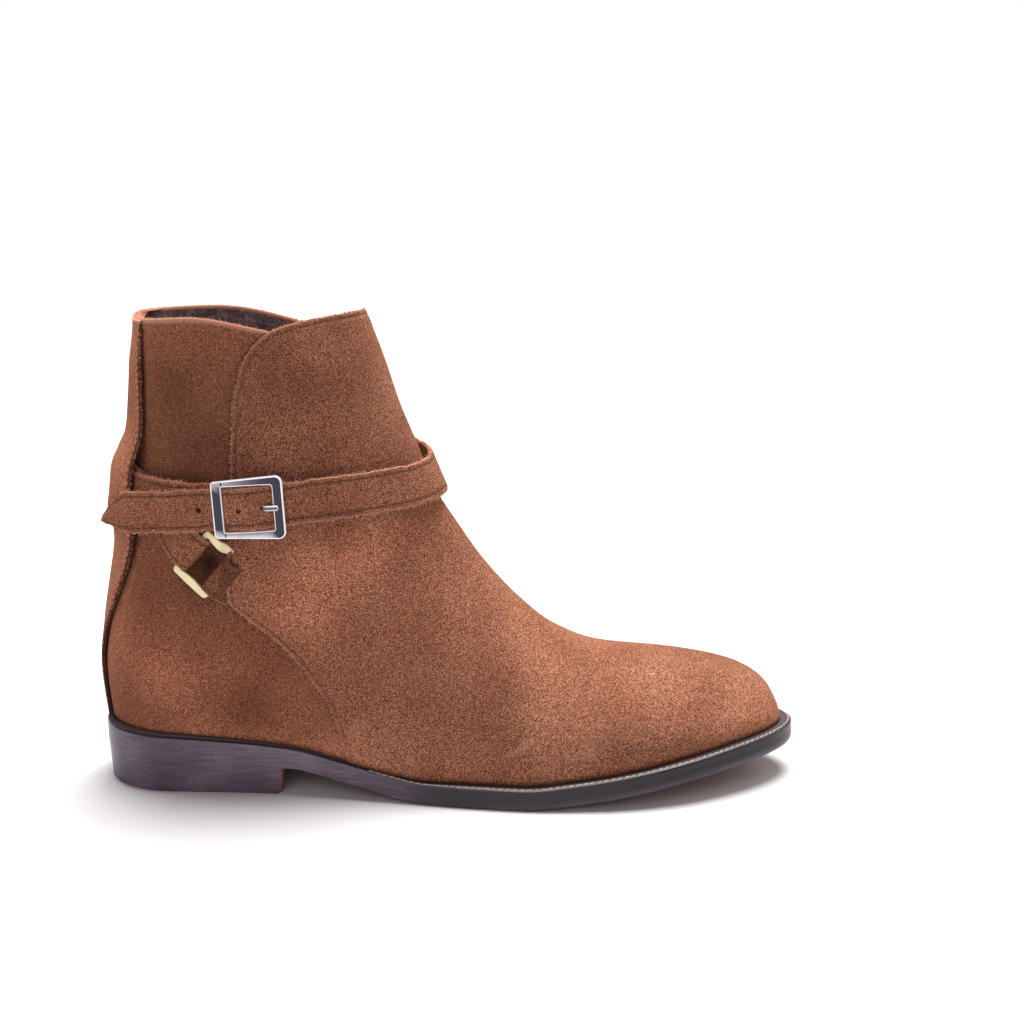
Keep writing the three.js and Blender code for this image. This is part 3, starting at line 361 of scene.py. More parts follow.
def curve(rows, key, column):
    """A smooth monotone curve through one column of a table."""
    x = np.array([row[key] for row in rows], float)
    y = np.array([row[column] for row in rows], float)
    steps = np.diff(x)
    slopes = np.diff(y) / steps
    bends = np.zeros(len(x))
    bends[0] = slopes[0]
    bends[-1] = slopes[-1]
    for i in range(1, len(x) - 1):
        if slopes[i - 1] * slopes[i] > 0:
            left = 2 * steps[i] + steps[i - 1]
            right = steps[i] + 2 * steps[i - 1]
            bends[i] = (left + right) / (left / slopes[i - 1] + right / slopes[i])

    def at(value):
        c = np.clip(value, x[0], x[-1])
        i = np.clip(np.searchsorted(x, c, side="right") - 1, 0, len(steps) - 1)
        start, leave, end, arrive = hermite((c - x[i]) / steps[i])
        first = start * y[i] + leave * steps[i] * bends[i]
        return first + end * y[i + 1] + arrive * steps[i] * bends[i + 1]

    return at


# The sole's lines
outer_share = curve(OUTLINE, "along", "outer")
inner_share = curve(OUTLINE, "along", "inner")
swing_share = curve(OUTLINE, "along", "swing")
heel_share = curve(UNDERSIDE, "along", "heel")
spring_share = curve(UNDERSIDE, "along", "spring")


def underside_at(s):
    along = s / SOLE_LENGTH
    return heel_share(along) * HEEL_HEIGHT + spring_share(along) * TOE_SPRING


def outsole_top(s):
    return underside_at(s) + OUTSOLE_THICKNESS


def welt_top(s):
    return outsole_top(s) + GAP + WELT_THICKNESS


def feather(s):
    return welt_top(s) + GAP


def side_share(along, side):
    return np.where(side < 0, outer_share(along), inner_share(along))


def outline_at(s, side):
    along = s / SOLE_LENGTH
    ends = round_end(s / HEEL_ROUND, HEEL_POWER) * round_end((SOLE_LENGTH - s) / TOE_ROUND, TOE_POWER)
    return swing_share(along) * BALL_WIDTH + side * side_share(along, side) * BALL_WIDTH * ends


def ledge_at(s):
    return mix(HEEL_LEDGE, TOE_LEDGE, smooth((s / SOLE_LENGTH - LEDGE_START) / LEDGE_RUN))


# The upper's front line, from the toe to above the collar
shaft_back = curve(SHAFT, "up", "back")
shaft_wide = curve(SHAFT, "up", "wide")


def front_line():
    rows = []
    for row in VAMP_LINE:
        s = row["along"] * SOLE_LENGTH
        rows.append({"s": s, "z": feather(s) + row["rise"] * INSTEP_HEIGHT})
    throat = rows[-1]["z"] / COLLAR_HEIGHT
    rows += [
        {"s": row["front"] * SOLE_LENGTH, "z": row["up"] * COLLAR_HEIGHT}
        for row in SHAFT
        if row["up"] > throat + THROAT_CLEAR
    ]
    rows[0]["run"] = 0.0
    for before, row in zip(rows, rows[1:]):
        row["run"] = before["run"] + math.hypot(row["s"] - before["s"], row["z"] - before["z"])
    run = np.linspace(0, rows[-1]["run"], 401)
    return run, curve(rows, "run", "s")(run), curve(rows, "run", "z")(run)


FRONT_RUN, FRONT_S, FRONT_Z = front_line()


def front_at(z):
    return np.interp(z, FRONT_Z, FRONT_S)


def front_height(s):
    return np.interp(s, FRONT_S[::-1], FRONT_Z[::-1])


def back_at(z):
    return shaft_back(z / COLLAR_HEIGHT) * SOLE_LENGTH


power_at = curve(FULLNESS, "along", "power")
ridge_at = curve(FULLNESS, "along", "ridge")


def face_at(s, z, side):
    """The place across the foot of the upper's outer face, at a point of the side view."""
    along = np.clip(s / SOLE_LENGTH, 0, 1)
    low = feather(s)
    high = front_height(s)
    climb = np.clip((z - low) / np.maximum(high - low, 1e-6), 0, 1)
    back = back_at(z)
    belly = 1 + BELLY * np.sin(np.pi * np.clip(climb * 2, 0, 1))
    wide = (side_share(along, side) * BALL_WIDTH - ledge_at(s)) * belly
    tip = VAMP_LINE[0]["along"] * SOLE_LENGTH
    power = power_at(along)
    over_top = (1 - climb**power) ** (1 / power)
    ends = round_end((s - back) / HEEL_ROUND, HEEL_POWER) * round_end((tip - s) / TOE_ROUND, TOE_POWER)
    foot = wide * ends * over_top
    front = front_at(z)
    middle = mix(back, front, SHAFT_MIDDLE)
    shaft_ends = np.where(
        s > middle,
        round_end((front - s) / (front - middle), SHAFT_FRONT_POWER),
        round_end((s - back) / (middle - back), SHAFT_BACK_POWER),
    )
    shaft = shaft_wide(z / COLLAR_HEIGHT) * SHAFT_WIDTH * shaft_ends / 2
    blend = smooth((z / COLLAR_HEIGHT - SHAFT_BLEND_LOW) / (SHAFT_BLEND_HIGH - SHAFT_BLEND_LOW))
    centre = swing_share(along) * BALL_WIDTH * (1 - blend) * (1 - climb)
    centre = centre + ridge_at(along) * BALL_WIDTH * climb * (1 - blend)
    return centre + side * mix(foot, shaft, blend)


def leaned(row, s, z):
    """Distances along and across the leaning axis of a table's patch, in the side view."""
    lean = math.radians(row["lean"])
    ds = s - row["along"] * SOLE_LENGTH
    dz = z - row["up"] * COLLAR_HEIGHT
    return ds * math.cos(lean) + dz * math.sin(lean), dz * math.cos(lean) - ds * math.sin(lean)


def patches(rows, points, column):
    """The sum at points of a table's soft patches, each times its own value."""
    total = np.zeros(points.shape[:-1])
    for row in rows:
        along, across = leaned(row, points[..., 0], points[..., 2])
        total += row[column] * bell(along, row["long"]) * bell(across, row["wide"])
    return total


RELIEF_FADE = {"side": 20, "rim": 22, "foot": 9}


def relief_at(s, z, y):
    """How far the suede swells or sinks at a point of the side view, in mm."""
    total = np.zeros(np.broadcast(s, z, y).shape)
    for row in RELIEF:
        along, across = leaned(row, s, z)
        along, across = along / row["long"], across / row["wide"]
        share = 1.0 if row["side"] == 0 else smooth(0.5 + row["side"] * y / RELIEF_FADE["side"])
        total += row["depth"] * share * np.exp(-(along**2) - across**2)
    rim = smooth((COLLAR_HEIGHT - z) / RELIEF_FADE["rim"])
    foot = smooth((z - feather(s)) / RELIEF_FADE["foot"])
    return total * rim * foot


def face_bare(turn, z):
    wrapped = np.where(turn > 1, turn - 2, turn)
    t = (1 - np.cos(np.pi * np.abs(wrapped))) / 2
    s = mix(back_at(z), front_at(z), t)
    side = np.where(wrapped < 0, -1, 1)
    return np.stack(np.broadcast_arrays(s, face_at(s, z, side), z), -1)


flap_edge_at = curve(FLAP_EDGE, "up", "along")


def on_face(turn, z, out):
    """A place on the upper's finished face by its turn round the shaft and its height."""
    turn, z, out = np.broadcast_arrays(np.asarray(turn, float), np.asarray(z, float), np.asarray(out, float))
    point = face_bare(turn, z)
    around = face_bare(turn + TURN_LOOK, z) - face_bare(turn - TURN_LOOK, z)
    rise = face_bare(turn, z + 1) - face_bare(turn, z - 1)
    normal = unit(np.cross(around, rise))
    middle = mix(back_at(z), front_at(z), SHAFT_MIDDLE)
    outward = normal[..., 0] * (point[..., 0] - middle) + normal[..., 1] * point[..., 1]
    normal = normal * np.where(outward < 0, -1, 1)[..., None]
    edge = flap_edge_at(z / FLAP_HEIGHT) * SOLE_LENGTH
    skin = FLAP_PROUD * smooth((point[..., 0] - edge + FLAP_RAMP) / FLAP_RAMP)
    swell = np.maximum(relief_at(point[..., 0], z, point[..., 1]), 0)
    return point + normal * (skin + swell + out)[..., None], normal


def layer_height(layers):
    return GAP + layers * (STRAP_THICKNESS + GAP)


# Meshes
def shared(points):
    """Points of the side view's frame as row-frame coordinates in metres."""
    moved = np.array(points, float).reshape(-1, 3)
    moved[:, 0] -= ORIGIN_S
    return moved * MM


def facing_out(points, faces):
    """Faces of a closed shape, turned over if they face inward."""
    corners = np.array([(face[0], face[i], face[i + 1]) for face in faces for i in range(1, len(face) - 1)])
    a, b, c = (points[corners[:, k]] for k in range(3))
    volume = (a * np.cross(b, c)).sum()
    return faces if volume > 0 else [tuple(reversed(face)) for face in faces]


COLLAR_SETTLE = {"drop": 2.4, "depth": 50.0, "across": 14.0, "from": 14.0, "over": 46.0}


def settled(points):
    """Points in millimetres with the rear of the collar's outer side let down a little."""
    high = smooth((points[:, 2] - COLLAR_HEIGHT + COLLAR_SETTLE["depth"]) / COLLAR_SETTLE["depth"])
    outer = smooth(-points[:, 1] / COLLAR_SETTLE["across"])
    rear = 1 - smooth((points[:, 0] - COLLAR_SETTLE["from"]) / COLLAR_SETTLE["over"])
    moved = points.copy()
    moved[:, 2] -= COLLAR_SETTLE["drop"] * high * outer * rear
    return moved


def make_mesh(name, points, faces):
    points = np.asarray(points, float).reshape(-1, 3)
    mesh = bpy.data.meshes.new(name)
    places = shared(settled(points)).tolist()
    mesh.from_pydata(places, [], facing_out(points - points.mean(0), faces))
    mesh.validate()
    mesh.update()
    return mesh


def make_piece(name, points, faces, materials, slot, replaced=(), face_materials=None, colours=None):
    mesh = make_mesh(name, points, faces)
    for label, values in (colours or {}).items():
        attribute = mesh.attributes.new(label, "FLOAT", "POINT")
        attribute.data.foreach_set("value", np.asarray(values, np.float32).ravel())
    for material in materials:
        mesh.materials.append(material)
    if face_materials is not None:
        mesh.polygons.foreach_set("material_index", np.asarray(face_materials, np.int32))
    mesh.polygons.foreach_set("use_smooth", [True] * len(mesh.polygons))
    piece = bpy.data.objects.new(name, mesh)
    bpy.context.scene.collection.objects.link(piece)
    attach(piece, "root")
    if replaced:
        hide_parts(*replaced)
    return piece


def grid_faces(rows, columns, start=0, around=False, along=False):
    """Quads of a grid of rows x columns points; around closes its rows, along its columns."""
    faces = []
    for j in range(rows if along else rows - 1):
        low = start + j * columns
        high = start + ((j + 1) % rows) * columns
        for i in range(columns if around else columns - 1):
            after = (i + 1) % columns
            faces.append((low + i, low + after, high + after, high + i))
    return faces


def loop_solid(loops, capped=True, joined=False):
    """Points and faces of a tube through closed loops, with fans over its two ends."""
    rows, columns = loops.shape[:2]
    faces = grid_faces(rows, columns, around=True, along=joined)
    points = loops.reshape(-1, 3)
    if capped and not joined:
        ends = np.stack([loops[0].mean(0), loops[-1].mean(0)])
        points = np.concatenate([points, ends])
        last = (rows - 1) * columns
        for i in range(columns):
            after = (i + 1) % columns
            faces.append((after, i, rows * columns))
            faces.append((last + i, last + after, rows * columns + 1))
    return points, faces


def joined_pieces(parts):
    """One list of points and faces from several."""
    points = []
    faces = []
    count = 0
    for part_points, part_faces in parts:
        part_points = np.asarray(part_points, float).reshape(-1, 3)
        points.append(part_points)
        turned = facing_out(part_points - part_points.mean(0), part_faces)
        faces += [tuple(corner + count for corner in face) for face in turned]
        count += len(points[-1])
    return np.concatenate(points), faces


def run_along(points):
    """The running length of a polyline at each of its points."""
    return np.concatenate([[0], np.cumsum(np.linalg.norm(np.diff(points, axis=0), axis=1))])


def sampled(at, run, values):
    """Values given along a polyline, read at other running lengths."""
    return np.stack([np.interp(at, run, values[:, k]) for k in range(values.shape[1])], -1)


def between(points, share):
    """Points of a polyline at shares of its length."""
    points = np.asarray(points, float)
    run = run_along(points)
    return sampled(np.asarray(share) * run[-1], run, points)


def smoothed(line, times):
    """A line of points with its inner points averaged with their neighbours."""
    line = line.copy()
    for _ in range(times):
        line[1:-1] = (line[:-2] + 2 * line[1:-1] + line[2:]) / 4
    return line


def full_turn(count):
    return np.arange(count) * 2 * np.pi / count


def length_of(points):
    return float(np.linalg.norm(np.diff(np.asarray(points, float), axis=0), axis=1).sum())


# Materials
def linear(*shades):
    """Linear colour from screen shades of 0 to 255."""
    part = [shade / 255 for shade in shades]
    return tuple(c / 12.92 if c <= 0.04045 else ((c + 0.055) / 1.055) ** 2.4 for c in part) + (1.0,)


def set_stops(node, stops):
    elements = node.color_ramp.elements
    while len(elements) < len(stops):
        elements.new(0.5)
    for element, (place, colour) in zip(elements, stops):
        element.position = place
        element.color = tuple(colour)[:3] + (1.0,)
    return node.outputs["Color"]


class Nodes:
    """A small helper that adds and links the nodes of one material."""

    def __init__(self, name):
        self.material = bpy.data.materials.new(name)
        self.material.use_nodes = True
        self.tree = self.material.node_tree
        self.tree.nodes.clear()
        self.output = self.add("ShaderNodeOutputMaterial")
        self.coordinates = self.add("ShaderNodeTexCoord").outputs["Object"]

    def add(self, kind, inputs=None, **values):
        node = self.tree.nodes.new(kind)
        for key, value in values.items():
            setattr(node, key, value)
        for key, value in (inputs or {}).items():
            self.put(node.inputs[key], value)
        return node

    def put(self, socket, value):
        if isinstance(value, bpy.types.NodeSocket):
            self.tree.links.new(value, socket)
        else:
            socket.default_value = value

    def noise(self, scale, detail=2.0, rough=0.5, stretch=None):
        vector = self.coordinates
        if stretch:
            vector = self.add("ShaderNodeMapping", {"Vector": vector, "Scale": stretch}).outputs[0]
        values = {"Vector": vector, "Scale": scale, "Detail": detail, "Roughness": rough}
        return self.add("ShaderNodeTexNoise", values).outputs["Fac"]

    def cells(self, scale):
        """A crisp speckle: one random shade for each small cell."""
        values = {"Vector": self.coordinates, "Scale": scale}
        return self.add("ShaderNodeTexVoronoi", values).outputs["Color"]

    def ramp(self, value, *stops):
        return set_stops(self.add("ShaderNodeValToRGB", {"Fac": value}), stops)

    def scaled(self, value, low, high, to_low=0.0, to_high=1.0):
        values = {"Value": value, "From Min": low, "From Max": high, "To Min": to_low, "To Max": to_high}
        return self.add("ShaderNodeMapRange", values).outputs["Result"]

    def maths(self, operation, a, b=0.5):
        node = self.add("ShaderNodeMath", operation=operation)
        self.put(node.inputs[0], a)
        self.put(node.inputs[1], b)
        return node.outputs[0]

    def sum_of(self, *weighted):
        """The sum of two values, each times its share."""
        first, second = [self.maths("MULTIPLY", value, share) for value, share in weighted]
        return self.maths("ADD", first, second)

    def mixed(self, factor, a, b, blend="MIX"):
        node = self.add("ShaderNodeMix", data_type="RGBA", blend_type=blend)
        self.put(node.inputs["Factor"], factor)
        self.put(node.inputs[6], a)
        self.put(node.inputs[7], b)
        return node.outputs[2]

    def attribute(self, name):
        return self.add("ShaderNodeAttribute", attribute_name=name).outputs["Fac"]

    def bump(self, height, distance, strength=1.0, before=None):
        values = {"Height": height, "Distance": distance, "Strength": strength}
        if before is not None:
            values["Normal"] = before
        return self.add("ShaderNodeBump", values).outputs["Normal"]

    def surface(self, **inputs):
        shader = self.add("ShaderNodeBsdfPrincipled")
        for key, value in inputs.items():
            self.put(shader.inputs[key.replace("_", " ")], value)
        self.tree.links.new(shader.outputs[0], self.output.inputs["Surface"])
        return self.material


SCUFFED = linear(206, 168, 150)


def suede(name, shadow, middle, light, edge, nap, spread):
    """Napped suede: a crisp fine speckle, soft mottling, a paler cut edge and painted highlights, painted
    light and shade, and rubbed places.
    """
    shadow, middle, light, edge = (linear(*shades) for shades in (shadow, middle, light, edge))
    n = Nodes(name)
    fine = n.noise(3500, 0.0, 0.5)
    pips = n.scaled(n.cells(4300), 0.0, 1.0, 0.34, 0.66)
    speck = n.noise(1700, 1.0, 0.5)
    brushed = n.noise(170, 2.0, 0.5, stretch=(1.0, 1.0, 0.6))
    mottle = n.noise(42, 0.0, 0.5)
    broad = n.noise(16, 1.0, 0.5)
    grain = n.sum_of((fine, 0.93), (speck, 0.07))
    cloud = n.sum_of((mottle, 0.6), (brushed, 0.4))
    soft = n.sum_of((mottle, 0.5), (broad, 0.5))
    tone = n.sum_of((pips, 0.8), (grain, 0.2))
    colour = n.ramp(tone, (0.5 - spread, shadow), (0.5, middle), (0.5 + spread, light))
    shade = n.ramp(soft, (0.36, (0.7, 0.64, 0.62)), (0.64, (1.0, 1.0, 1.0)))
    colour = n.mixed(1.0, colour, shade, "MULTIPLY")
    # The "edge" attribute pales the colour: paler cut edges, and a painted highlight along the flap's edge
    # where the tabs raise it.
    pale_edge_and_highlight = n.attribute("edge")
    edge_and_highlight_share = n.scaled(n.maths("ADD", pale_edge_and_highlight, n.scaled(speck, 0.35, 0.65, -0.3, 0.3)), 0.3, 0.9)
    colour = n.mixed(edge_and_highlight_share, colour, n.mixed(0.7, colour, edge))
    # The "dark" attribute paints shade: contact shadows by the strip, straps, flap, rings and welt, shade in
    # stitch grooves and on the tabs, and the strip's dark cut edge.
    dark = n.attribute("dark")
    painted_shade = n.scaled(n.maths("ADD", dark, n.scaled(speck, 0.35, 0.65, -0.12, 0.12)), 0.0, 1.0)
    colour = n.mixed(painted_shade, colour, n.mixed(0.92, colour, shadow, "MULTIPLY"))
    # The "tone" attribute makes broad parts paler or darker: painted light and shade, partly the nap's own
    # tone.
    level = n.maths("ADD", n.attribute("tone"), 1.0)
    colour = n.add("ShaderNodeHueSaturation", {"Color": colour, "Value": level}).outputs["Color"]
    rubbed = n.maths("MULTIPLY", n.attribute("pale"), n.scaled(speck, 0.35, 0.62, 0.2, 1.0))
    colour = n.mixed(rubbed, colour, SCUFFED)
    pile = n.bump(grain, 0.0005, 0.9 * nap)
    normal = n.bump(cloud, 0.0016, 0.25 * nap, pile)
    return n.surface(
        Base_Color=colour,
        Roughness=0.95,
        Normal=normal,
        Specular_IOR_Level=0.1,
        Sheen_Weight=0.2,
        Sheen_Roughness=0.5,
        Sheen_Tint=linear(235, 165, 125),
    )


# The last row is a darker copy of the suede: painted shade for the tabs.
SUEDES = table(
    "name shadow middle light edge nap spread",
    ("suede", (52, 26, 16), (124, 74, 54), (214, 150, 114), (192, 138, 112), 1.0, 0.12),
    ("napped_suede", (44, 21, 12), (126, 75, 54), (232, 166, 129), (192, 138, 112), 1.6, 0.1),
    ("strap_suede", (48, 23, 14), (116, 70, 51), (216, 153, 118), (192, 138, 112), 1.4, 0.1),
    ("dark_suede", (52, 30, 24), (78, 46, 36), (112, 70, 54), (120, 78, 60), 1.0, 0.12),
)
SUEDE, NAPPED_SUEDE, STRAP_SUEDE, SHADED_SUEDE = (suede(**look) for look in SUEDES)


def lining_leather():
    n = Nodes("lining_leather")
    fine = n.noise(2300, 1.5, 0.6)
    soft = n.noise(160, 2.0, 0.5)
    tone = n.sum_of((fine, 0.75), (soft, 0.25))
    colour = n.ramp(
        tone, (0.4, linear(50, 38, 40)), (0.52, linear(86, 70, 68)), (0.66, linear(156, 134, 126))
    )
    normal = n.bump(fine, 0.0002, 0.3)
    return n.surface(Base_Color=colour, Roughness=0.8, Normal=normal, Specular_IOR_Level=0.3)


def sole_leather():
    """Waxed dark edge of stacked layers, with fine level streaks."""
    n = Nodes("sole_leather")
    streak = n.noise(60, 4.0, 0.6, stretch=(1.0, 1.0, 26.0))
    fine = n.noise(900, 2.0, 0.6, stretch=(1.0, 1.0, 3.0))
    soft = n.noise(28, 2.0, 0.5)
    tone = n.sum_of((streak, 0.35), (soft, 0.45))
    tone = n.maths("ADD", tone, n.maths("MULTIPLY", fine, 0.2))
    colour = n.ramp(
        tone, (0.36, linear(50, 41, 49)), (0.52, linear(80, 69, 81)), (0.68, linear(114, 102, 115))
    )
    colour = n.mixed(n.attribute("dark"), colour, linear(26, 18, 24))
    normal = n.bump(n.sum_of((streak, 0.6), (fine, 0.4)), 0.0004, 0.35)
    return n.surface(
        Base_Color=colour,
        Roughness=n.scaled(soft, 0.3, 0.7, 0.34, 0.5),
        Normal=normal,
        Specular_IOR_Level=0.3,
        Coat_Weight=0.1,
        Coat_Roughness=0.3,
    )


def polished_metal(name, base, face, rough, wear, metallic):
    """Polished metal; the "face" attribute mixes in the face colour: a painted dark reflection on the broad
    flat faces, and dark joint lines.
    """
    n = Nodes(name)
    scratch = n.noise(900, 3.0, 0.6, stretch=(1.0, 6.0, 1.0))
    cloud = n.noise(220, 3.0, 0.6)
    colour = n.ramp(cloud, (0.35, tuple(0.85 * c for c in base[:3])), (0.65, base))
    colour = n.mixed(n.attribute("face"), colour, face)
    return n.surface(
        Base_Color=colour,
        Metallic=metallic,
        Roughness=n.scaled(cloud, 0.3, 0.7, rough, rough + wear),
        Normal=n.bump(scratch, 0.00006, 0.2),
    )


def bare_leather():
    n = Nodes("bare_leather")
    fine = n.noise(800, 3.0, 0.6)
    layer = n.noise(50, 3.0, 0.6, stretch=(1.0, 1.0, 18.0))
    tone = n.sum_of((fine, 0.4), (layer, 0.6))
    colour = n.ramp(
        tone, (0.36, linear(98, 56, 42)), (0.52, linear(132, 82, 62)), (0.66, linear(160, 110, 86))
    )
    return n.surface(Base_Color=colour, Roughness=0.6, Normal=n.bump(tone, 0.0003, 0.4))


def thread(name, dark, light):
    n = Nodes(name)
    twist = n.noise(2600, 1.0, 0.5, stretch=(1.0, 0.4, 1.0))
    colour = n.ramp(twist, (0.38, dark), (0.62, light))
    return n.surface(Base_Color=colour, Roughness=0.7, Normal=n.bump(twist, 0.0001, 0.4))


DARK_THREAD = thread("dark_thread", linear(50, 29, 23), linear(92, 56, 43))
PALE_THREAD = thread("pale_thread", linear(104, 88, 86), linear(160, 142, 134))
FUZZ = thread("suede_fuzz", linear(150, 96, 72), linear(216, 158, 130))
WELT_TOP = thread("welt_top", linear(26, 16, 18), linear(44, 30, 32))
LINING_THREAD = thread("lining_thread", linear(84, 64, 62), linear(132, 108, 100))
LINING = lining_leather()
SOLE = sole_leather()
BARE_LEATHER = bare_leather()
# The buckle's dark navy face colour is a painted dark reflection on its broad flat faces.
CHROME = polished_metal("buckle_steel", linear(236, 236, 240), linear(34, 34, 48), 0.3, 0.1, 0.35)
BRASS = polished_metal("ring_brass", linear(216, 202, 160), linear(150, 134, 100), 0.34, 0.12, 0.4)

FINISHES = {
    "outsole": SOLE,
    "welt": SOLE,
    "heel": SOLE,
    "insole": LINING,
    "upper": SUEDE,
    "back_strip": SUEDE,
    "long_strap": STRAP_SUEDE,
    "buckle_strap": STRAP_SUEDE,
    "outer_tab": SHADED_SUEDE,
    "inner_tab": SHADED_SUEDE,
    "outer_ring": BRASS,
    "inner_ring": BRASS,
    "buckle_frame": CHROME,
    "buckle_prong": CHROME,
}
for node, finish in FINISHES.items():
    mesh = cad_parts[node].data
    mesh.materials.clear()
    mesh.materials.append(finish)


# The upper in its own map: share up the front line, and the angle round the shoe from the
# back seam (0), over the outer side, the front ridge (pi) and the inner side.
BACK_FOOT = float(back_at(feather(0.0)))
TIP_S = VAMP_LINE[0]["along"] * SOLE_LENGTH
MAP_LOOK = 0.0015
RIDGE_KEPT = {"share": 0.2, "from": 195.0, "over": 15.0}


def ridge_run(z):
    return np.interp(z, FRONT_Z, FRONT_RUN)


def under_ridge(s, z, angle):
    """Heights kept low enough that the columns beside the vamp's ridge don't fall onto it."""
    power = power_at(np.clip(s / SOLE_LENGTH, 0, 1))
    beside = smooth((s - RIDGE_KEPT["from"]) / RIDGE_KEPT["over"]) * np.abs(np.sin(angle))
    low = feather(s)
    climb = (1 - (RIDGE_KEPT["share"] * beside) ** power) ** (1 / power)
    most = low + (front_height(s) - low) * climb
    return np.where(s > RIDGE_KEPT["from"], np.minimum(z, most), z)


def upper_place(share, angle, top):
    """Points of the upper's outer face, in the same rings as the solid."""
    share, angle = np.broadcast_arrays(np.asarray(share, float), np.asarray(angle, float))
    front_run = ridge_run(top["front"]) * np.maximum(share, 0) ** RING_CROWD
    front_s = np.interp(front_run, FRONT_RUN, FRONT_S)
    front_z = np.interp(front_run, FRONT_RUN, FRONT_Z)
    back_z = mix(feather(BACK_FOOT), top["back"], share)
    back_s = back_at(back_z)
    settle = np.maximum(1 - share, 0) ** RING_SETTLE
    t = (1 - np.cos(angle)) / 2
    side = np.where(np.sin(angle) >= 0, -1.0, 1.0)
    s = mix(back_s, front_s, t)
    foot_s = mix(BACK_FOOT, TIP_S, t)
    straight = mix(feather(BACK_FOOT), FRONT_Z[0], t)
    dip = top["dip"] * share * (t - smooth((t - DIP_START) / DIP_RUN))
    z = under_ridge(s, mix(back_z, front_z, t) + (feather(foot_s) - straight) * settle + dip, angle)
    return np.stack([s, face_at(s, z, side), z], -1)


def upper_normal(share, angle, top):
    share, angle = np.broadcast_arrays(np.asarray(share, float), np.asarray(angle, float))
    low = np.maximum(share - MAP_LOOK, 0)
    rise = upper_place(share + MAP_LOOK, angle, top) - upper_place(low, angle, top)
    look = 4 * MAP_LOOK
    around = upper_place(share, angle + look, top) - upper_place(share, angle - look, top)
    normal = np.cross(around, rise)
    normal[..., 2] = np.where(share <= 0.0, 0, normal[..., 2])
    normal = unit(normal)
    flank = np.where(np.sin(angle) >= 0, -1.0, 1.0) * np.abs(np.sin(angle))
    ahead = -np.cos(angle)
    outward = normal[..., 1] * flank + normal[..., 0] * ahead * 0.5 + normal[..., 2] * 0.2 * (ahead > 0)
    return normal * np.where(outward < 0, -1, 1)[..., None]


def swollen(points, normals, out):
    """Face points moved out by a distance and by the relief of the suede."""
    swell = relief_at(points[..., 0], points[..., 2], points[..., 1])
    return points + normals * (np.asarray(out) + swell)[..., None]


# The hollow shell
SHELL_ROWS = 150
SHELL_COLUMNS = 260
RIM_STEPS = 7
RIM_STITCH = {"below": 4.2, "depth": 0.3, "wide": 0.7}
SHELL_TOP = {
    "back": COLLAR_HEIGHT - WALL / 2,
    "front": COLLAR_HEIGHT - COLLAR_DIP - WALL / 2,
    "dip": COLLAR_DIP,
}


def rim_distance(points):
    """Distance below the top row of a grid of points, down each column."""
    steps = np.linalg.norm(np.diff(points, axis=0), axis=-1)
    run = np.concatenate([np.zeros((1, points.shape[1])), np.cumsum(steps, 0)])
    return run[-1] - run


strip_half = curve(BACK_STRIP, "up", "half")


def strip_up(z):
    """The share up the back strip at a height."""
    return (z - feather(0) - GAP) / (COLLAR_HEIGHT - feather(0) - 2 * GAP)


# Painted shade beside the back strip, the flap's edge and the straps, and inside the rings.
SEAM_SHADE_PAINT = {
    "share": 0.5,
    "wide": 1.3,
    "flap": 0.5,
    "raised_flap": 0.75,
    "reach": 2.2,
    "raised_reach": 3.0,
    "ring": 1.0,
    "band": 0.8,
    "beside": 2.6,
}
STRAP_SHADOW_RUN = {"first": 0.04, "last": 0.24, "places": 80}
RING_SHADE = {"along": 6.0, "across": 8.5}
FOOT_SHADE_PAINT = {"share": 0.9, "high": 2.6}
TAB_LIFT = 1.15


def seam_painted_shade(points):
    """Painted shade on the shell's suede: contact shadows beside the back strip, along the straps' first
    runs and by the flap's edge, and the shade inside the rings.
    """
    steps = np.linalg.norm(np.roll(points, -1, 1) - points, axis=-1)
    run = np.cumsum(steps, 1) - steps
    arc = np.minimum(run, steps.sum(1, keepdims=True) - run)
    up = strip_up(points[..., 2])
    beside = arc - strip_half(np.clip(up, 0, 1)) * STRIP_WIDTH / 2
    dark = SEAM_SHADE_PAINT["share"] * smooth(1 - beside / SEAM_SHADE_PAINT["wide"])
    edge, _ = nearest_distance(points, EDGE_LINE[::4])
    raised = tab_lift(points) / TAB_LIFT
    reach = mix(SEAM_SHADE_PAINT["reach"], SEAM_SHADE_PAINT["raised_reach"], raised)
    share = mix(SEAM_SHADE_PAINT["flap"], SEAM_SHADE_PAINT["raised_flap"], raised)
    dark = np.maximum(dark, share * smooth(1 - edge / reach))
    for course in (LONG_COURSE, BUCKLE_COURSE):
        sides = np.array([[-STRAP_WIDTH / 2, STRAP_WIDTH / 2]])
        shares = np.linspace(STRAP_SHADOW_RUN["first"], STRAP_SHADOW_RUN["last"], STRAP_SHADOW_RUN["places"])
        line = course.place(shares, sides, np.zeros((len(shares), 1)))[0].reshape(-1, 3)
        away, _ = nearest_distance(points, line)
        dark = np.maximum(dark, SEAM_SHADE_PAINT["band"] * smooth(1 - away / SEAM_SHADE_PAINT["beside"]))
    return np.maximum(dark, ring_dark(points))


def ring_dark(points):
    """Dark share of the suede in the shade between a ring's rails."""
    dark = 0.0
    for ring in (OUTER_RING, INNER_RING):
        away = points - ring.point
        along = away @ ring.along
        across = away @ ring.across
        near = np.sign(points[..., 1]) == np.sign(ring.point[1])
        dark = dark + near * bell(along, RING_SHADE["along"]) * bell(across, RING_SHADE["across"])
    return SEAM_SHADE_PAINT["ring"] * dark


def foot_painted_shade(points):
    """Painted shade on the suede near the welt, in the shadowed gap above it."""
    above = points[..., 2] - feather(np.clip(points[..., 0], 0, SOLE_LENGTH))
    return (FOOT_SHADE_PAINT["share"] * smooth(1 - above / FOOT_SHADE_PAINT["high"])).ravel()


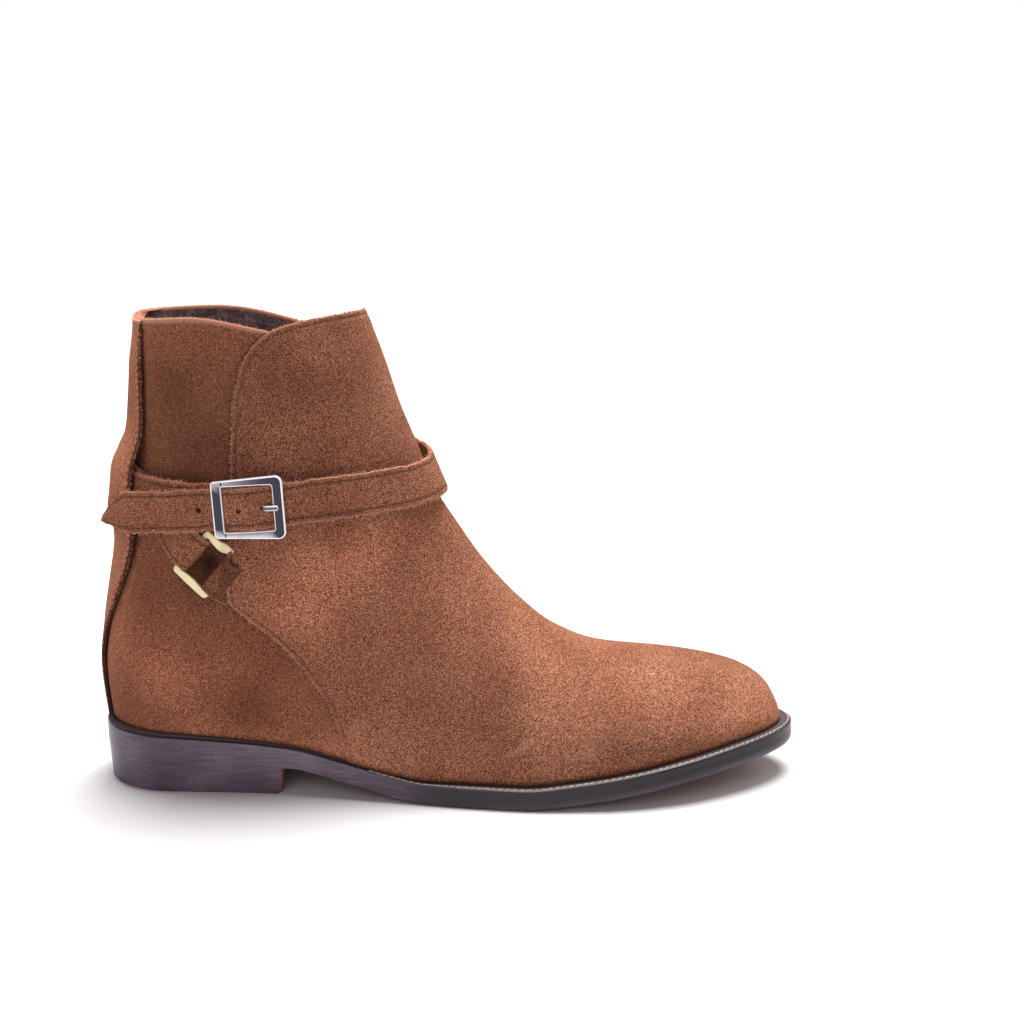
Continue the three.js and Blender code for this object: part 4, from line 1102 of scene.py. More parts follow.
# Broad painted light and shade on the suede, partly the nap's own paler and darker parts; places in shares
# of the length and the height
PAINTED_LIGHT_AND_SHADE = table(
    "along up long wide lean value",
    (0.22, 0.82, 70.0, 42.0, 0, -0.33),
    (0.37, 0.50, 26.0, 10.0, 20, 0.75),
    (0.31, 0.40, 18.0, 14.0, 0, 0.3),
    (0.50, 0.22, 40.0, 16.0, -25, -0.3),
    (0.75, 0.13, 40.0, 9.0, -5, -0.3),
    (0.24, 0.18, 22.0, 16.0, 0, -0.3),
    (0.10, 0.26, 20.0, 16.0, 0, 0.35),
    (0.12, 0.10, 34.0, 8.0, 0, 0.15),
    (0.96, 0.14, 18.0, 12.0, 0, 0.3),
    (0.36, 0.10, 30.0, 9.0, 0, 0.25),
    (0.83, 0.30, 34.0, 8.0, -18, -0.2),
)


SHELL_PAINTED_LIGHT_AND_SHADE = table(
    "along up long wide lean value",
    (0.17, 0.42, 26.0, 17.0, -20, -0.35),
    (0.27, 0.30, 24.0, 10.0, -45, -0.2),
    (0.12, 0.72, 60.0, 44.0, 0, -0.22),
    (0.06, 0.16, 20.0, 18.0, 0, -0.2),
)
FLAP_PAINTED_LIGHT_AND_SHADE = table(
    "along up long wide lean value",
    (0.28, 0.43, 20.0, 12.0, -10, 0.25),
    (0.40, 0.30, 30.0, 14.0, -30, 0.1),
)


def painted_light_and_shade_at(points, more):
    """How much painted light (positive) and shade (negative) lies at points, as a share; partly the nap's
    own tone.
    """
    return patches(PAINTED_LIGHT_AND_SHADE + more, points, "value")


def shell_painted_shade(loops):
    """Painted shade over the whole shell; only its outer face has seams beside it."""
    dark = np.zeros(loops.shape[:2])
    dark[:SHELL_ROWS] = seam_painted_shade(loops[:SHELL_ROWS])
    return dark


RIM_ROWS = 16
RIM_FROM = 0.95
RIM_FRAY = 1.1


def upper_shell():
    body = np.linspace(0, RIM_FROM, SHELL_ROWS - RIM_ROWS)
    shares = np.concatenate([body, np.linspace(RIM_FROM, 1, RIM_ROWS + 1)[1:]])
    angles = full_turn(SHELL_COLUMNS)
    points = upper_place(shares[:, None], angles[None, :], SHELL_TOP)
    normals = upper_normal(shares[:, None], angles[None, :], SHELL_TOP)
    below = rim_distance(points)
    seam = bell(below - RIM_STITCH["below"], RIM_STITCH["wide"]) * RIM_STITCH["depth"]
    outside = swollen(points, normals, -seam)
    inside = swollen(points, normals, -WALL)
    up = unit(points[-1] - points[-3])
    middle = (outside[-1] + inside[-1]) / 2
    rim = []
    for i in range(1, RIM_STEPS):
        angle = np.pi * i / RIM_STEPS
        spread = normals[-1] * np.cos(angle) + up * np.sin(angle)
        rim.append(middle + spread * WALL / 2)
    loops = np.concatenate([outside, np.stack(rim), inside[::-1]])
    points, faces = loop_solid(loops, joined=True)
    rows = len(loops)
    lined = SHELL_ROWS + RIM_STEPS
    kinds = np.repeat((np.arange(rows) >= lined).astype(int), SHELL_COLUMNS)
    rim_edge = np.zeros((rows, SHELL_COLUMNS))
    edge_fade = bell(below, RIM_FRAY)
    rim_edge[:SHELL_ROWS] = edge_fade
    rim_edge[SHELL_ROWS : SHELL_ROWS + RIM_STEPS - 1] = 1.0
    rim_edge[SHELL_ROWS + RIM_STEPS - 1 :] = edge_fade[::-1]
    return make_piece(
        "upper_shell",
        points,
        faces,
        [SUEDE, LINING],
        "suede",
        replaced=["upper"],
        face_materials=kinds,
        colours={
            "edge": rim_edge,
            "dark": np.maximum(foot_painted_shade(loops), shell_painted_shade(loops).ravel()),
            "tone": painted_light_and_shade_at(loops, SHELL_PAINTED_LIGHT_AND_SHADE),
        },
    )


# Rubbed pale streaks, places in shares of the sole's length and the collar's height
SCUFFS = table(
    "along up long wide lean strength",
    (0.613, 0.129, 3.4, 1.1, 40, 0.5),
    (0.595, 0.112, 2.6, 1.0, 30, 0.35),
    (0.701, 0.113, 3.2, 2.2, 80, 0.22),
    (0.457, 0.088, 3.4, 1.6, -60, 0.3),
    (0.384, 0.160, 5.0, 2.8, 40, 0.2),
)


def scuffs_at(points):
    """Pale share of the suede on the outer side."""
    return np.where(points[..., 1] < 0, patches(SCUFFS, points, "strength"), 0.0)


# The front flap, mapped between its own cut edge and the ridge, across both sides
FLAP_TOP = {"back": FLAP_HEIGHT + 4, "front": FLAP_HEIGHT + 4, "dip": 0}
FLAP_CORNER = 17
FLAP_ROWS = 190
FLAP_COLUMNS = 250
FLAP_TUCK = 0.5
CUT_ROUND = 0.9
STITCH_INSET = 2.1
STITCH_GROOVE = {"depth": 0.4, "wide": 0.5}


def map_of(s, z, top):
    """The share and angle of a point of the side view, on the outer side."""
    low = np.zeros(np.shape(s))
    high = np.ones(np.shape(s))
    for _ in range(40):
        share = (low + high) / 2
        back_z = mix(feather(BACK_FOOT), top["back"], share)
        run = ridge_run(top["front"]) * share**RING_CROWD
        front_s = np.interp(run, FRONT_RUN, FRONT_S)
        back_s = back_at(back_z)
        t = np.clip((s - back_s) / (front_s - back_s), 0, 1)
        angle = np.arccos(1 - 2 * t)
        place = upper_place(share, angle, top)
        above = place[..., 2] > z
        high = np.where(above, share, high)
        low = np.where(above, low, share)
    return share, angle


def flap_border():
    """The flap's cut edge as shares and angles: up its rear side, then over to the ridge."""
    up = np.array([row["up"] for row in FLAP_EDGE]) * FLAP_HEIGHT
    along = np.array([row["along"] for row in FLAP_EDGE]) * SOLE_LENGTH
    run = run_along(np.stack([along, up], -1))
    rows = [{"run": r, "s": s, "z": z} for r, s, z in zip(run, along, up)]
    at_s = curve(rows, "run", "s")
    at_z = curve(rows, "run", "z")

    def mapped(start, end, count):
        r = np.linspace(start, end, count)
        s, z = at_s(r), at_z(r)
        share, angle = map_of(s, z, FLAP_TOP)
        reached = front_height(s) <= z
        if reached.any():
            last = int(np.argmax(reached))
            share, angle = share[:last], angle[:last]
        return np.stack([share, angle], -1)

    rear = mapped(0.0, run[FLAP_CORNER], 400)
    rear[0, 0] = 0.0
    over = mapped(run[FLAP_CORNER], run[-1], 400)
    ridge_share = over[-1, 0] + (over[-1, 0] - over[-8, 0]) * 0.3
    over = np.concatenate([over, [[ridge_share, np.pi]]])
    return rear, over


REAR_BORDER, TOP_BORDER = flap_border()


def spread_near_ends(count, fine, reach, total, both=True):
    """Shares of a length with close steps near its ends."""
    near = np.linspace(0, reach, int(reach / fine) + 1) / total
    inner = np.linspace(near[-1], 1 - near[-1] if both else 1, count - len(near) * (2 if both else 1) + 2)
    parts = [near[:-1], inner]
    if both:
        parts.append((1 - near[:-1])[::-1])
    return np.concatenate(parts)


INNER_TOP = {"share": 0.026, "from": 0.8, "turn": 0.45}


def inner_lowered(share, angle):
    """Shares of the flap with the top of its inner side let down a little."""
    beyond = smooth((angle - np.pi) / INNER_TOP["turn"])
    high = smooth((share - INNER_TOP["from"]) / (0.98 - INNER_TOP["from"]))
    return share - INNER_TOP["share"] * beyond * high


def flap_map(u, v):
    """Shares and angles of the flap at u from its outer edge to its inner edge, v upward."""
    half = np.where(u <= 0.5, 2 * u, 2 * (1 - u))
    top_share = between(TOP_BORDER, half)
    rear = between(REAR_BORDER, v)
    corner_low = REAR_BORDER[0]
    corner_high = REAR_BORDER[-1]
    ridge_low = np.array([0.0, np.pi])
    ridge_high = TOP_BORDER[-1]
    ridge = mix(ridge_low, ridge_high, v[..., None])
    low = mix(corner_low, ridge_low, half[..., None])
    h = half[..., None]
    w = v[..., None]
    place = (1 - h) * rear + h * ridge + (1 - w) * low + w * top_share
    place = place - (1 - h) * (1 - w) * corner_low - h * (1 - w) * ridge_low
    place = place - (1 - h) * w * corner_high - h * w * ridge_high
    share = place[..., 0]
    angle = np.where(u <= 0.5, place[..., 1], 2 * np.pi - place[..., 1])
    return inner_lowered(np.maximum(share, 0), angle), angle


BLOCK = 4000


def nearest_distance(points, line):
    """Distance of each point from a dense polyline's points, and the nearest one's index."""
    flat = points.reshape(-1, 3)
    best = np.full(len(flat), 1e9)
    index = np.zeros(len(flat), int)
    for start in range(0, len(flat), BLOCK):
        block = flat[start : start + BLOCK]
        gap = ((block[:, None, :] - line[None, :, :]) ** 2).sum(-1)
        index[start : start + BLOCK] = gap.argmin(1)
        best[start : start + BLOCK] = np.sqrt(gap.min(1))
    return best.reshape(points.shape[:-1]), index.reshape(points.shape[:-1])


def flap_edge_line(count=1600):
    """The flap's whole cut edge on the outer face, from the outer welt round to the inner."""
    rear_run = np.linspace(0, 1, count // 3)
    top_run = np.linspace(0, 1, count // 6)
    half = [between(REAR_BORDER, rear_run), between(TOP_BORDER, top_run)[1:]]
    outer = np.concatenate(half)
    inner = outer[::-1][1:].copy()
    inner[:, 1] = 2 * np.pi - inner[:, 1]
    inner[:, 0] = inner_lowered(inner[:, 0], inner[:, 1])
    share, angle = np.concatenate([outer, inner]).T
    return upper_place(share, angle, FLAP_TOP), upper_normal(share, angle, FLAP_TOP)


EDGE_LINE, EDGE_NORMALS = flap_edge_line()


TAB_RAISE = {"before": 7, "rise": 6, "beyond": 4, "fall": 5, "beside": 0.5, "fade": 4.5}


def tab_lift(points):
    """How far the flap is raised by the tabs that run under it."""
    lift = 0.0
    for ring in (OUTER_RING, INNER_RING):
        away = points - ring.point
        along = away @ ring.along
        across = np.abs(away @ ring.across)
        run = smooth((along + RING_REACH + TAB_LENGTH + TAB_RAISE["before"]) / TAB_RAISE["rise"])
        run = run * smooth((RING_REACH + TAB_RAISE["beyond"] - along) / TAB_RAISE["fall"])
        beside = 1 - smooth((across - STRAP_WIDTH / 2 - TAB_RAISE["beside"]) / TAB_RAISE["fade"])
        near = np.sign(points[..., 1]) == np.sign(ring.point[1])
        lift = lift + TAB_LIFT * run * beside * near
    return lift


FLAP_MESH = {"fine": 0.35, "reach": 4.2, "round": 250.0, "high": 230.0}
FLAP_SWELL = {"rise": 0.18, "inset": 4.2, "wide": 1.6}
STITCH_SHADE = {"share": 0.28, "wide": 0.5}
FLAP_PALE_EDGE_AND_HIGHLIGHT = {"wide": 0.6, "raised": 0.5}
RING_SHADE_OFF = 2


def flap_piece():
    u = spread_near_ends(FLAP_COLUMNS, FLAP_MESH["fine"], FLAP_MESH["reach"], FLAP_MESH["round"])
    v = spread_near_ends(FLAP_ROWS, FLAP_MESH["fine"], FLAP_MESH["reach"], FLAP_MESH["high"], both=False)
    v = 1 - v[::-1]
    uu, vv = np.meshgrid(u, v)
    share, angle = flap_map(uu, vv)
    points = upper_place(share, angle, FLAP_TOP)
    normals = upper_normal(share, angle, FLAP_TOP)
    distance, _ = nearest_distance(points, EDGE_LINE)
    cut = np.sqrt(np.clip(1 - (1 - np.clip(distance / CUT_ROUND, 0, 1)) ** 2, 0, 1))
    groove = STITCH_GROOVE["depth"] * bell(distance - STITCH_INSET, STITCH_GROOVE["wide"])
    swell = FLAP_SWELL["rise"] * bell(distance - FLAP_SWELL["inset"], FLAP_SWELL["wide"])
    outside = swollen(points, normals, (FLAP_PROUD + tab_lift(points)) * cut - groove + swell)
    inside = swollen(points, normals, -FLAP_TUCK)
    rows, columns = points.shape[:2]
    count = rows * columns
    faces = grid_faces(rows, columns)
    faces += [tuple(reversed(face)) for face in grid_faces(rows, columns, start=count)]
    border = list(range(columns))
    border += [j * columns + columns - 1 for j in range(1, rows)]
    border += [(rows - 1) * columns + i for i in range(columns - 2, -1, -1)]
    border += [j * columns for j in range(rows - 2, 0, -1)]
    for a, b in zip(border, border[1:] + border[:1]):
        faces.append((a, a + count, b + count, b))
    # The paler cut edge, widened into a painted highlight where the tabs raise the flap; painted shade in
    # the stitch groove, inside the rings and near the welt.
    edge_and_highlight_share = bell(distance, FLAP_PALE_EDGE_AND_HIGHLIGHT["wide"] + FLAP_PALE_EDGE_AND_HIGHLIGHT["raised"] * tab_lift(points) / TAB_LIFT)
    shaded = STITCH_SHADE["share"] * bell(distance - STITCH_INSET, STITCH_SHADE["wide"])
    shaded = shaded + ring_dark(points) * smooth(RING_SHADE_OFF - distance)
    shaded = np.maximum(shaded, foot_painted_shade(outside).reshape(distance.shape))

    def outer_only(values):
        return np.concatenate([values.ravel(), np.zeros(count)])

    return make_piece(
        "front_flap",
        np.concatenate([outside.reshape(-1, 3), inside.reshape(-1, 3)]),
        faces,
        [NAPPED_SUEDE],
        "suede",
        replaced=["upper"],
        colours={
            "edge": np.concatenate([edge_and_highlight_share.ravel(), edge_and_highlight_share.ravel()]),
            "dark": outer_only(shaded),
            "pale": outer_only(scuffs_at(outside)),
            "tone": outer_only(painted_light_and_shade_at(outside, FLAP_PAINTED_LIGHT_AND_SHADE)),
        },
    )


# Straps that follow a course round the shaft
ALONG_LOOK = 0.004


class Course:
    """A band's way round the shaft, with places across it and over the upper's face."""

    def __init__(self, rows):
        runs = [dict(row, run=abs(row["turn"] - rows[0]["turn"])) for row in rows]
        self.total = runs[-1]["run"]
        self.turn = curve(runs, "run", "turn")
        self.up = curve(runs, "run", "up")
        self.layers = curve(runs, "run", "layers")
        middles = self.middle(np.linspace(0, 1, 241))
        self.length = length_of(middles)

    def middle(self, share):
        run = np.asarray(share) * self.total
        return on_face(self.turn(run), self.up(run) * COLLAR_HEIGHT, 0)[0]

    def room(self, share):
        """Height of the band's inner face over the upper's."""
        return layer_height(self.layers(share * self.total))

    def place(self, share, offset, out):
        """Points (shares x offsets) a distance out, and the face's normals there."""
        share = np.asarray(share, float)
        run = share * self.total
        turn = self.turn(run)
        z = self.up(run) * COLLAR_HEIGHT
        ahead = self.middle(np.minimum(1, share + ALONG_LOOK))
        along = unit(ahead - self.middle(np.maximum(0, share - ALONG_LOOK)))
        by_turn = on_face(turn + TURN_LOOK, z, 0)[0] - on_face(turn - TURN_LOOK, z, 0)[0]
        by_turn = by_turn / (2 * TURN_LOOK)
        by_rise = (on_face(turn, z + 1, 0)[0] - on_face(turn, z - 1, 0)[0]) / 2
        a = (by_turn * along).sum(-1)
        b = (by_rise * along).sum(-1)
        across = by_turn * b[..., None] - by_rise * a[..., None]
        size = np.where(across[..., 2] < 0, -1.0, 1.0) / np.linalg.norm(across, axis=-1)
        reach = offset * size[:, None]
        return on_face(turn[:, None] + b[:, None] * reach, z[:, None] - a[:, None] * reach, out)


LONG_COURSE = Course(LONG_STRAP)
BUCKLE_COURSE = Course(BUCKLE_STRAP)


class Fitting:
    """A fitting's own frame on the upper's face; along points to the toe end of a course."""

    def __init__(self, turn, z, towards):
        point, normal = on_face(turn, z, 0)
        self.point = point
        self.out = normal
        self.along = unit(towards - normal * (towards @ normal))
        across = unit(np.cross(normal, self.along))
        self.across = -across if across[2] < 0 else across

    def at(self, along, across, height):
        along, across, height = np.broadcast_arrays(
            np.asarray(along, float), np.asarray(across, float), np.asarray(height, float)
        )
        return (
            self.point
            + along[..., None] * self.along
            + across[..., None] * self.across
            + height[..., None] * self.out
        )


def bar_height_for(size):
    return layer_height(0) + STRAP_THICKNESS + GAP + size / 2


RING_HEIGHT = bar_height_for(RING_WIRE)
CENTRE_BAR = 1.8
CENTRE_ROUND = CENTRE_BAR * math.sqrt(2)
CENTRE_HEIGHT = bar_height_for(CENTRE_ROUND)
FRAME_HEIGHT = CENTRE_HEIGHT + CENTRE_BAR / 2 + 2 * STRAP_THICKNESS
RING_REACH = (RING_LENGTH - RING_WIRE) / 2


def ring_fitting(side):
    def place(way):
        up = (RING_UP + way * RING_LEAN["up"]) * COLLAR_HEIGHT
        return on_face(side * (RING_TURN - way * RING_LEAN["turn"]), up, 0)[0]

    return Fitting(side * RING_TURN, RING_UP * COLLAR_HEIGHT, place(1) - place(-1))


def buckle_fitting():
    z = BUCKLE_UP * COLLAR_HEIGHT

    def place(way):
        return on_face(BUCKLE_TURN - way * BUCKLE_LOOK, z + way * BUCKLE_TILT, 0)[0]

    return Fitting(BUCKLE_TURN, z, place(1) - place(-1))


OUTER_RING = ring_fitting(-1)
INNER_RING = ring_fitting(1)
BUCKLE = buckle_fitting()

upper_shell()
flap_piece()

# Section of a band: places from edge to edge, and heights over its inner face
EDGE_STEPS = (0.0, 0.5, 1.0, 1.5, 1.85, 2.2, 2.55, 2.9, 3.6, 4.8, 6.4, 8.2)
STRAP_ROUND = 0.62
STRAP_CROWN = 0.22
STRAP_STITCH = {"inset": 2.2, "depth": 0.24, "wide": 0.42}
TURN_STEPS = 26


BAND_SHADE = {"edge": 0.6, "side": 0.6, "side_drop": 0.05, "seam": 0.6, "seam_wide": 0.5}
BAND_UNDER = {"reach": 4.8, "edge": 0.5, "dark": 0.2}
CORNER_TURNS = 4


def band_profile(width=STRAP_WIDTH, thick=STRAP_THICKNESS, soft=STRAP_ROUND):
    """A closed outline as (share across, height, edge, dark) rows; shares of half the width."""
    half = width / 2
    corner = []
    for i in range(CORNER_TURNS + 1):
        angle = np.pi / 2 * i / CORNER_TURNS
        corner.append((half - soft + soft * math.sin(angle), -soft + soft * math.cos(angle)))
    inner = [step for step in EDGE_STEPS if soft < step]
    right = [(half - step, 0.0) for step in reversed(inner)] + corner
    upper_side = [(-x, h) for x, h in reversed(right)] + right
    rows = []
    for x, h in upper_side:
        inset = half - abs(x)
        groove = STRAP_STITCH["depth"] * bell(inset - STRAP_STITCH["inset"], STRAP_STITCH["wide"])
        crown = STRAP_CROWN * (1 - (x / half) ** 2)
        side = BAND_SHADE["side"] if h < -BAND_SHADE["side_drop"] else 0.0
        edge = float(bell(inset, BAND_SHADE["edge"])) + side
        dark = BAND_SHADE["seam"] * float(bell(inset - STRAP_STITCH["inset"], BAND_SHADE["seam_wide"]))
        rows.append((x / half, thick + h - groove + crown, min(edge, 1.0), dark))
    under = [(x, h) for x, h in reversed(right) if h < 0 or x >= half - BAND_UNDER["reach"]]
    for x, h in under + [(-x, h) for x, h in reversed(under)]:
        rows.append((x / half, -h, BAND_UNDER["edge"], BAND_UNDER["dark"]))
    return np.array(rows)


PROFILE = band_profile()


RAGGED = ((1.13, 0.16, 0.4), (0.61, 0.14, 1.9), (0.29, 0.16, 4.1), (2.3, 0.08, 0.8))


def ragged(run):
    """Small wanderings of a band's two cut edges along its run."""
    upper = sum(size * np.sin(rate * run + late) for rate, size, late in RAGGED)
    lower = sum(size * np.sin(rate * 1.07 * run + 2.3 * late + 1) for rate, size, late in RAGGED)
    reach = np.abs(PROFILE[:, 0]) ** 5
    return np.where(PROFILE[:, 0] > 0, upper[:, None], lower[:, None]) * reach


def course_loops(course, shares, widths):
    offsets = PROFILE[None, :, 0] * widths[:, None] / 2 + ragged(shares * course.length)
    inner = course.room(shares)
    outs = inner[:, None] + PROFILE[None, :, 1]
    return course.place(shares, offsets, outs)[0]


def turned_loops(fitting, bar_along, bar_height, bar_size, heading, width, tail=TAIL_LENGTH):
    """Loops of the turned-back end of a band, from its tail under a bar to its top."""
    radius = bar_size / 2 + GAP + STRAP_THICKNESS / 2
    angles = np.concatenate([[0, 0, 0], np.linspace(0, np.pi, TURN_STEPS)])
    extra = np.concatenate([[tail, tail * 0.6, tail * 0.25], np.zeros(TURN_STEPS)])
    loops = []
    for angle, more in zip(angles, extra):
        along = bar_along + heading * (more - radius * math.sin(angle))
        height = bar_height - radius * math.cos(angle)
        tilt = math.atan2(-math.cos(angle), -heading * math.sin(angle))
        rise = PROFILE[:, 1] - STRAP_THICKNESS / 2
        loops.append(
            fitting.at(
                along + rise * math.cos(tilt),
                PROFILE[:, 0] * width / 2,
                height + rise * math.sin(tilt),
            )
        )
    return np.array(loops)


def eased_between(first, second, steps):
    """Loops on a smooth way from the end of one stack to the start of another."""
    a, b, c, d = first[-3], first[-1], second[0], second[2]
    reach = np.linalg.norm((c - b).mean(0))
    start = (b - a) / max(np.linalg.norm((b - a).mean(0)), 1e-6) * reach
    end = (d - c) / max(np.linalg.norm((d - c).mean(0)), 1e-6) * reach
    loops = []
    for i in range(1, steps):
        at_start, leave, at_end, arrive = hermite(i / steps)
        loops.append(at_start * b + leave * start + at_end * c + arrive * end)
    return np.array(loops)


LONG_ROWS = 330
BUCKLE_ROWS = 130
TIP_ROWS = 22
LEAVE_RING = 11.0
POINT_RUN = 21.0
POINT_END = 0.992
POINT_DROP = 2.4
WIDEN_OVER = 26.0


def easing_widths(shares, length):
    gone = shares * length
    return STRAP_WIDTH - LOOP_WIDTH_EASE * (1 - smooth((gone - LEAVE_RING) / WIDEN_OVER))


def long_strap_loops():
    length = LONG_COURSE.length
    start = LEAVE_RING / length
    tip = 1 - POINT_RUN / length
    shares = np.linspace(start, tip, LONG_ROWS)
    body = course_loops(LONG_COURSE, shares, easing_widths(shares, length))
    into = np.linspace(0, 1, TIP_ROWS + 1)[1:]
    narrow = 1 - 0.92 * into
    narrow[-1] = 0.04
    point = course_loops(LONG_COURSE, mix(tip, POINT_END, into), STRAP_WIDTH * narrow)
    point[..., 2] -= POINT_DROP * into[:, None] ** 1.5
    turned = turned_loops(
        OUTER_RING, RING_REACH, RING_HEIGHT, RING_WIRE, 1, STRAP_WIDTH - LOOP_WIDTH_EASE
    )
    return np.concatenate([turned, eased_between(turned, body, 8), body, point])


def buckle_strap_loops():
    length = BUCKLE_COURSE.length
    shares = np.linspace(LEAVE_RING / length, BUCKLE_END, BUCKLE_ROWS)
    body = course_loops(BUCKLE_COURSE, shares, easing_widths(shares, length))
    width = STRAP_WIDTH - LOOP_WIDTH_EASE
    turned = turned_loops(INNER_RING, RING_REACH, RING_HEIGHT, RING_WIRE, 1, width)
    looped = turned_loops(BUCKLE, 0, CENTRE_HEIGHT, CENTRE_ROUND, -1, width)[::-1]
    return np.concatenate(
        [turned, eased_between(turned, body, 8), body, eased_between(body, looped, 4), looped]
    )


def band_piece(name, loops, materials, slot, replaced, shade=0.0):
    points, faces = loop_solid(loops)
    rows = len(loops)
    edge = np.concatenate([np.tile(PROFILE[:, 2], rows), [1.0, 1.0]])
    dark = np.maximum(np.tile(PROFILE[:, 3], rows), np.ravel(shade))
    dark = np.concatenate([dark, [0.0, 0.0]])
    colours = {"edge": edge, "dark": dark}
    return make_piece(name, points, faces, materials, slot, replaced, colours=colours)


def cut_from(piece, cutters):
    """Cuts closed shapes out of a piece and keeps the result as its mesh."""
    for points, faces in cutters:
        cutter = bpy.data.objects.new("cutter", make_mesh("cutter", points, faces))
        bpy.context.scene.collection.objects.link(cutter)
        modifier = piece.modifiers.new("cut", "BOOLEAN")
        modifier.operation = "DIFFERENCE"
        modifier.solver = "MANIFOLD"
        modifier.object = cutter
        bpy.context.view_layer.update()
        graph = bpy.context.evaluated_depsgraph_get()
        made = bpy.data.meshes.new_from_object(piece.evaluated_get(graph))
        piece.modifiers.clear()
        piece.data = made
        bpy.data.objects.remove(cutter)


ROD_SIDES = 16


def fitting_rod(fitting, along, across, size, low, high, steps=ROD_SIDES):
    """A round or oval rod straight out of a fitting's face, to cut a hole with."""
    angles = full_turn(steps)
    loops = [
        fitting.at(along + size[0] * np.cos(angles), across + size[1] * np.sin(angles), height)
        for height in (low, high)
    ]
    return loop_solid(np.array(loops))


long_strap = band_piece("long_strap_suede", long_strap_loops(), [STRAP_SUEDE], "suede", ["long_strap"])
buckle_strap = band_piece(
    "buckle_strap_suede", buckle_strap_loops(), [STRAP_SUEDE], "suede", ["buckle_strap"]
)
PUNCHED = {"along": (7.0, -4.0), "radius": 1.0, "share": 0.865}
PUNCH_REACH = 30.0
PRONG_SLOT = (1.5, 1.3)


def punch_at(course, share, radius):
    """A rod through a strap at a share of its course."""

    def middle(at, out):
        return course.place(np.array([at]), np.zeros((1, 1)), np.full((1, 1), out))[0][0, 0]

    base, tip = middle(share, 0.0), middle(share, PUNCH_REACH)
    ahead = middle(share + ALONG_LOOK, 0.0)
    out = unit(tip - base)
    along = unit(ahead - base - out * ((ahead - base) @ out))
    across = np.cross(out, along)
    angles = full_turn(ROD_SIDES)
    ring = radius * (np.cos(angles)[:, None] * along + np.sin(angles)[:, None] * across)
    return loop_solid(np.array([base + out * 4 + ring, tip + ring]))


cut_from(
    long_strap,
    [
        fitting_rod(BUCKLE, PUNCHED["along"][0] - 0.6, 0.0, PRONG_SLOT, CENTRE_HEIGHT, 2 * FRAME_HEIGHT),
        fitting_rod(BUCKLE, PUNCHED["along"][1], -0.8, (1.0, 1.0), CENTRE_HEIGHT, 2 * FRAME_HEIGHT),
        punch_at(LONG_COURSE, PUNCHED["share"], PUNCHED["radius"]),
    ],
)
cut_from(buckle_strap, [fitting_rod(BUCKLE, 0.0, 0.0, (4.6, 2.0), -CENTRE_HEIGHT, 2 * FRAME_HEIGHT)])


# Tabs that hold the rings, turned round their lower bars and running under the flap
TAB_RUN = (0.0, 0.18, 0.35, 0.52, 0.7, 0.85, 1.0)


def tab_loops(fitting):
    width = STRAP_WIDTH - LOOP_WIDTH_EASE
    turned = turned_loops(fitting, -RING_REACH, RING_HEIGHT, RING_WIRE, -1, width)
    radius = RING_WIRE / 2 + GAP + STRAP_THICKNESS / 2
    settled = layer_height(1) + STRAP_THICKNESS / 2 + GAP
    loops = []
    for share in TAB_RUN[1:]:
        height = mix(RING_HEIGHT + radius, settled, smooth(share))
        rise = height + PROFILE[:, 1] - STRAP_THICKNESS / 2
        loops.append(fitting.at(-RING_REACH - share * TAB_LENGTH, PROFILE[:, 0] * width / 2, rise))
    loops = np.concatenate([turned, np.array(loops)])
    beyond = -((loops - fitting.point) @ fitting.along) - RING_REACH
    press = smooth((inside_flap(loops) + TUCK_OVER) / TUCK_OVER) * smooth((beyond - 0.8) / 4.0)
    share = np.broadcast_to(PROFILE[:, 1] / STRAP_THICKNESS, press.shape)
    return tucked_under(fitting, loops, share, press)


EDGE_INWARD = unit(np.cross(unit(np.gradient(EDGE_LINE, axis=0)), EDGE_NORMALS))
TUCK_OVER = 5.0


def inside_flap(points):
    """How far points lie inward of the flap's cut edge."""
    _, index = nearest_distance(points, EDGE_LINE)
    return ((points - EDGE_LINE[index]) * EDGE_INWARD[index]).sum(-1)


def tucked_under(fitting, loops, share, press):
    """Loops pressed down until the flap covers them; share is each point's place in their depth."""
    side = np.sign(fitting.point[1])
    bare = face_at(loops[..., 0], loops[..., 2], side)
    lean = abs(fitting.out[1])
    height = (np.abs(loops[..., 1]) - np.abs(bare)) * lean
    under = mix(-0.3, FLAP_PROUD + TAB_LIFT - 0.5, share)
    moved = np.minimum(mix(height, under, press), height) - height
    return loops + moved[..., None] * fitting.out


for side, fitting in (("outer", OUTER_RING), ("inner", INNER_RING)):
    loops = tab_loops(fitting)
    # Painted shade on the tabs, darker where they run under the flap's edge.
    shade = 0.2 + 0.4 * smooth((inside_flap(loops) + 2.0) / 2.0)
    band_piece(side + "_tab_suede", loops, [STRAP_SUEDE], "suede_dark", [side + "_tab"], shade)

# The strip up the back seam
STRIP_ROWS = 120
LAP_ROWS = 6
LAP_THICKNESS = 0.9
LAP_GAP = 0.08
LAP_TURN = math.radians(24)
LAP_SETTLE = {"below": 22, "over": 20}
LAP_LOOK = 1.5
LAP_LIGHT = 0.9
STRIP_STITCH_INSET = 1.9
STRIP_ROUND = 0.55
STRIP_TONE = 0.18
STRIP_SPREAD = (0.55, 0.9, 1.3, 1.6, 1.9, 2.2, 2.5, 3.0, 4.0, 6.0, 8.5, 11.5, 14.5, 17.5, 20.5)

strip_lift = curve(BACK_STRIP, "up", "lift")


def turns_at_arc(z, distances):
    """Turns round the shaft at distances from the back seam, for each height."""
    turns = np.linspace(-0.7, 0.7, 281)
    found = []
    for height, wanted in zip(z, distances):
        line = face_bare(turns, np.full(turns.shape, height))
        run = run_along(line)
        run -= run[len(turns) // 2]
        found.append(np.interp(wanted, run, turns))
    return np.array(found)


